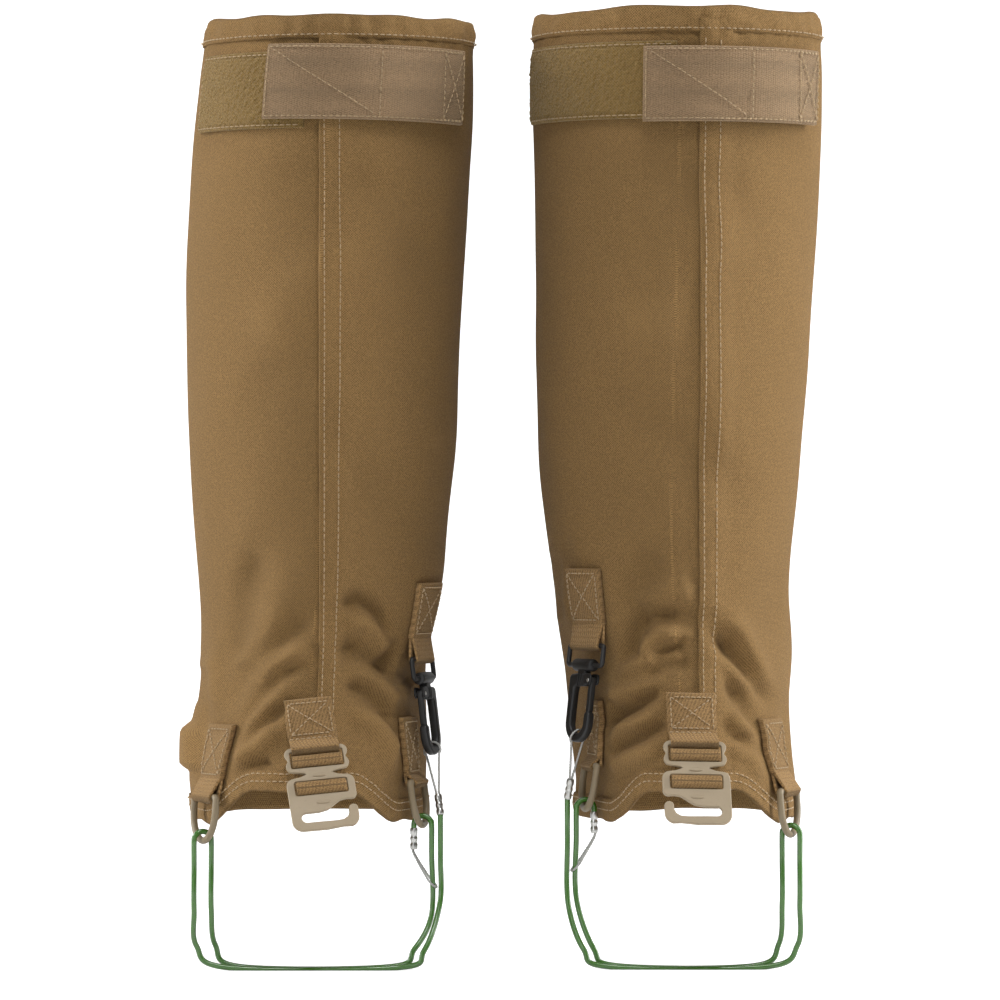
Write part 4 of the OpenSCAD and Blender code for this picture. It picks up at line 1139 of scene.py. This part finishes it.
def stirrup(side):
    h, up = HAND[side], np.array([0, 0, 1.0])
    m = SEAT[side, "medial_ring"]([0, 0, -RING_DROP])
    lat = SEAT[side, "lateral_ring"]([0, 0, -RING_DROP])
    out_m, out_l = SEAT[side, "medial"].outward, SEAT[side, "lateral"].outward
    foot = m + 9 * out_m + [0, 0, 5]
    head = m - BIGHT_R * out_m - [0, 0, 1.5]
    pivot = SEAT[side, "hook"]([0, 0, -HOOK_DROP])
    length = np.linalg.norm(foot - pivot)
    heading = SEAT[side, "hook"].heading
    d = turn("z", -heading) @ ((foot - pivot) / length)
    end = Seat(pivot, heading, math.degrees(math.atan2(-d[1], -d[2])), -math.degrees(math.asin(d[0])))
    mid_y, apart = (m[1] + lat[1]) / 2, 2.8
    start = foot + [0, 0, 0.3]

    def sole(x, z, shift):
        return np.array([x, mid_y + shift, z])

    def bight(bow, out):
        return [bow + BIGHT_R * (math.cos(math.radians(q)) * out + math.sin(math.radians(q)) * up)
                for q in range(0, 181, 30)]

    way = ([start, foot - 21.2 * up, np.array([m[0] - h * 8.5, foot[1] - 1.5, 32]),
            sole(m[0] - h, 10, -apart), sole(m[0] + h * 12, CABLE_R, -apart), sole(lat[0] - h * 12, CABLE_R, -apart),
            sole(lat[0] + h * 3.5, 12, -apart), lat + BIGHT_R * out_l - 34 * up, lat + BIGHT_R * out_l - 12 * up]
           + bight(lat, out_l)
           + [lat - BIGHT_R * out_l - 12 * up, lat - BIGHT_R * out_l - 34 * up, sole(lat[0] - h * 5.5, 12, apart),
              sole(lat[0] - h * 18, CABLE_R, apart), sole(m[0] + h * 16, CABLE_R, apart),
              sole(m[0] + h * 4, 10, apart), m + BIGHT_R * out_m - 44 * up, m + BIGHT_R * out_m - 14 * up]
           + bight(m, out_m) + [head - 2 * up])
    body = side + "_stirrup"
    line = resample(spline(way, 10), 0.55)
    points, quads, caps, uv = cable_tube(line, CABLE_R, 28)
    add_piece(body + "_coated_cable", points, quads, M_CABLE, body, [side + "_stirrup_cable"], "cable_coat", uv,
              polys=caps)
    steel = ferrule(head - FERRULE_LEN * up, up, FERRULE_LEN, False)
    add_piece(body + "_ferrule", *steel[:2], M_STEEL, body, [side + "_ferrule_b"], "steel", polys=steel[2])
    along = np.cross(out_m, up)
    begin = head - (FERRULE_LEN - 2) * up
    centre = m + BIGHT_R * out_m - 28 * up
    rise = np.array([-out_m[0], -out_m[1], 1.1])
    rise /= np.linalg.norm(rise)
    loop = ([begin + 0.75 * along, begin + 0.75 * along - 4 * up]
            + [centre + 3.6 * (math.cos(math.radians(q)) * rise + math.sin(math.radians(q)) * along)
               for q in range(50, 311, 20)] + [begin - 0.75 * along - 4 * up, begin - 0.75 * along])
    points, quads, polys = join(twisted(spline(loop, 8), EYE_WIRE))
    add_piece(body + "_eye", points, quads, M_WIRE, body, [side + "_eye_b"], "steel_wire", polys=polys)
    # The end that closes the loop: ferrule A and its eye round the snap hook's bend
    body = side + "_cable_end"
    top = -length + FERRULE_LEN - 2
    loop = ([(0, 0.75, top), (0, 0.75, top + 3)]
            + [(0, 4.3 * math.cos(math.radians(q)), 4.3 * math.sin(math.radians(q))) for q in range(-40, 221, 20)]
            + [(0, -0.75, top + 3), (0, -0.75, top)])
    points, quads, polys = join(twisted(end(spline([np.array(p, float) for p in loop], 8)), EYE_WIRE))
    add_piece(body + "_eye", points, quads, M_WIRE, body, [side + "_eye_a"], "steel_wire", polys=polys)
    way_up = end([0, 0, 1.0]) - end([0, 0, 0.0])
    steel = ferrule(foot, way_up, FERRULE_LEN, True)
    add_piece(body + "_ferrule", *steel[:2], M_STEEL, body, [side + "_ferrule_a"], "steel", polys=steel[2])


# ---------------------------------------------------------------- closure tapes inside the front seam
def closure_tape(side, kind):
    """One of the two tapes that close the front seam, inside the sleeve."""
    out, thick, material = ((-2.5, 0.8, M_HOOKTAPE) if kind == "hook" else (-3.7, 0.9, M_PILE))
    high = TOP_Z[side] - TOP_HEM - 3
    u, v = np.meshgrid(spread(20.0, 1.0, 0.4), spread(1.0, 1.4 / 330, 0.002), indexing="ij")
    a = seam_angle(side, np.float64(280.0)) - 6 + u * 20 / 20
    low = hem_z(a) + BOTTOM_HEM + 4
    z = low + v * (high - low)
    a = seam_angle(side, z) - 6 + u
    p = skin(side, a, z)
    nap = 0.16 * waves(p + (5 if kind == "hook" else 60), 0.9)
    edge = rounded(np.minimum(u, 20 - u) * 1.2, 0.4)
    outer, inner = cloth(side, a, z, out + thick * edge), cloth(side, a, z, out + nap * edge)
    points, quads = closed_sheet(outer, inner)
    uv = np.stack([u * 1.2, z], -1).reshape(-1, 2)
    add_piece(f"{side}_flap_{kind}_tape_cloth", points, quads, material, side + "_gaiter",
              [f"{side}_flap_{kind}_tape"], "hook_tape" if kind == "hook" else "pile", np.concatenate([uv, uv]),
              np.zeros(len(points)))


# ---------------------------------------------------------------- the assembly
def front_seam_rows(side):
    body = side + "_gaiter"
    for row in (2.6, 9.6):
        points, n = seam_line(side, row, 96, TOP_Z[side] - TOP_HEM - 1)
        stitch(body, points, n, radius=0.30)
    for s_, row in ((1, 3.4), (-1, 3.4)):
        z = np.arange(110.0, TOP_Z[side] - TOP_HEM - 2, 2.0)
        a = s_ * (180 - math.degrees(row / 70)) + 0 * z
        stitch(body, cloth(side, a, z, 0.35), cloth_normals(side, a, z))


def hem_rows(side):
    body = side + "_gaiter"
    points, n = ring_line(side, -179, 180, lambda a: 0 * a + TOP_Z[side] - TOP_HEM + 1.7, 1.15)
    stitch(body, points, n)
    for rise in (5.6, 9.2):
        points, n = ring_line(side, -179, 180, lambda a: hem_z(a) + rise, 1.05)
        stitch(body, points, n)


for side in ("right", "left"):
    for plus_x in (True, False):
        leg_panel(side, plus_x)
    hem(side, True)
    hem(side, False)
    closure_tape(side, "hook")
    closure_tape(side, "loop")
    front_seam_rows(side)
    hem_rows(side)
    pile_patch(side)
    calf_strap(side)
    tab(side, "instep", side + "_instep_tab", LACE_BAR_R, 5.5, 28, 24.6,
        box_rows(24.6, 6.5, 28) + [[(-11.4, 6.6), (11.4, 6.6)]])
    tab(side, "snap", side + "_snap_tab", LOOP_R, 10, 38, WEBBING_W, box_rows(WEBBING_W, 10, 38))
    tab(side, "lateral", side + "_lateral_tab", RING_R, 9, 36, WEBBING_W, box_rows(WEBBING_W, 9, 36))
    tab(side, "medial", side + "_medial_tab", RING_R, 3, 32, WEBBING_W, box_rows(WEBBING_W, 3, 32))
    lace_hook(side)
    hook_webbing(side)
    snap(side)
    wire_ring(side, "loop", loop_path(), LOOP_R, side + "_snap_loop", side + "_snap_loop", M_BLACK_WIRE,
              "black_wire", SEAT[side, "loop"])
    for label in ("lateral", "medial"):
        wire_ring(side, label, d_ring_path(), RING_R, f"{side}_{label}_ring", f"{side}_{label}_ring", M_RING,
                  "painted_wire", SEAT[side, label + "_ring"])
    stirrup(side)
sew_everything()


# ---------------------------------------------------------------- floor, light and camera
def backdrop():
    """A pale floor that sweeps up into a wall."""
    run = [(y, 0.0) for y in (-4.0, -1.0, 0.8, 1.6)]
    run += [(1.6 + 1.5 * math.sin(q), 1.5 - 1.5 * math.cos(q)) for q in np.linspace(0.1, math.pi / 2, 14)]
    run.append((3.1, 4.5))
    points = [(x, y, z) for x in (-5.0, 5.0) for y, z in run]
    n = len(run)
    faces = [(k, k + 1, n + k + 1, n + k) for k in range(n - 1)]
    mesh = bpy.data.meshes.new("sweep")
    mesh.from_pydata(points, [], faces)
    mesh.polygons.foreach_set("use_smooth", [True] * len(mesh.polygons))
    material = bpy.data.materials.new("sweep")
    material.use_nodes = True
    shader = material.node_tree.nodes["Principled BSDF"]
    shader.inputs["Base Color"].default_value = (0.80, 0.80, 0.80, 1)
    shader.inputs["Roughness"].default_value = 0.9
    shader.inputs["Emission Color"].default_value = (1, 1, 1, 1)
    # Bright to the camera, as a lit studio wall is, but a weak light for the object
    nodes, links = material.node_tree.nodes, material.node_tree.links
    path = nodes.new("ShaderNodeLightPath")
    glow = nodes.new("ShaderNodeMapRange")
    glow.inputs["To Min"].default_value, glow.inputs["To Max"].default_value = 0.12, 0.62
    links.new(path.outputs["Is Camera Ray"], glow.inputs["Value"])
    links.new(glow.outputs["Result"], shader.inputs["Emission Strength"])
    mesh.materials.append(material)
    sweep = bpy.data.objects.new("sweep", mesh)
    bpy.context.scene.collection.objects.link(sweep)


def light(name, place, aim, size, power, tint=(1, 1, 1)):
    lamp = bpy.data.lights.new(name, "AREA")
    lamp.shape, lamp.size, lamp.size_y = "RECTANGLE", size[0], size[1]
    lamp.energy, lamp.color = power, tint
    holder = bpy.data.objects.new(name, lamp)
    holder.location = place
    holder.rotation_euler = (Vector(aim) - Vector(place)).to_track_quat("-Z", "Y").to_euler()
    bpy.context.scene.collection.objects.link(holder)


backdrop()
light("key_left", (-2.2, 0.2, 1.1), (0, 0, 0.22), (0.9, 1.6), 50)
light("key_right", (2.2, 0.1, 1.1), (0, 0, 0.22), (0.9, 1.6), 68)
light("top", (0.1, -1.3, 2.4), (0, 0, 0.2), (0.9, 0.7), 30)
light("front", (-1.3, -2.9, 1.0), (0.05, 0, 0.25), (1.2, 1.0), 17)
world = bpy.data.worlds.new("studio")
bpy.context.scene.world = world
world.use_nodes = True
world.node_tree.nodes["Background"].inputs["Color"].default_value = (1, 1, 1, 1)
world.node_tree.nodes["Background"].inputs["Strength"].default_value = 0.10

view = bpy.data.cameras.new("photo_view")
view.sensor_width, view.lens = 36, 216
camera = bpy.data.objects.new("photo_view", view)
camera.location = (0, 0.020 - 3.0, 0.231)
camera.rotation_euler = (math.pi / 2, 0, 0)
bpy.context.scene.collection.objects.link(camera)
bpy.context.scene.camera = camera
bpy.context.scene.view_settings.view_transform = "Standard"
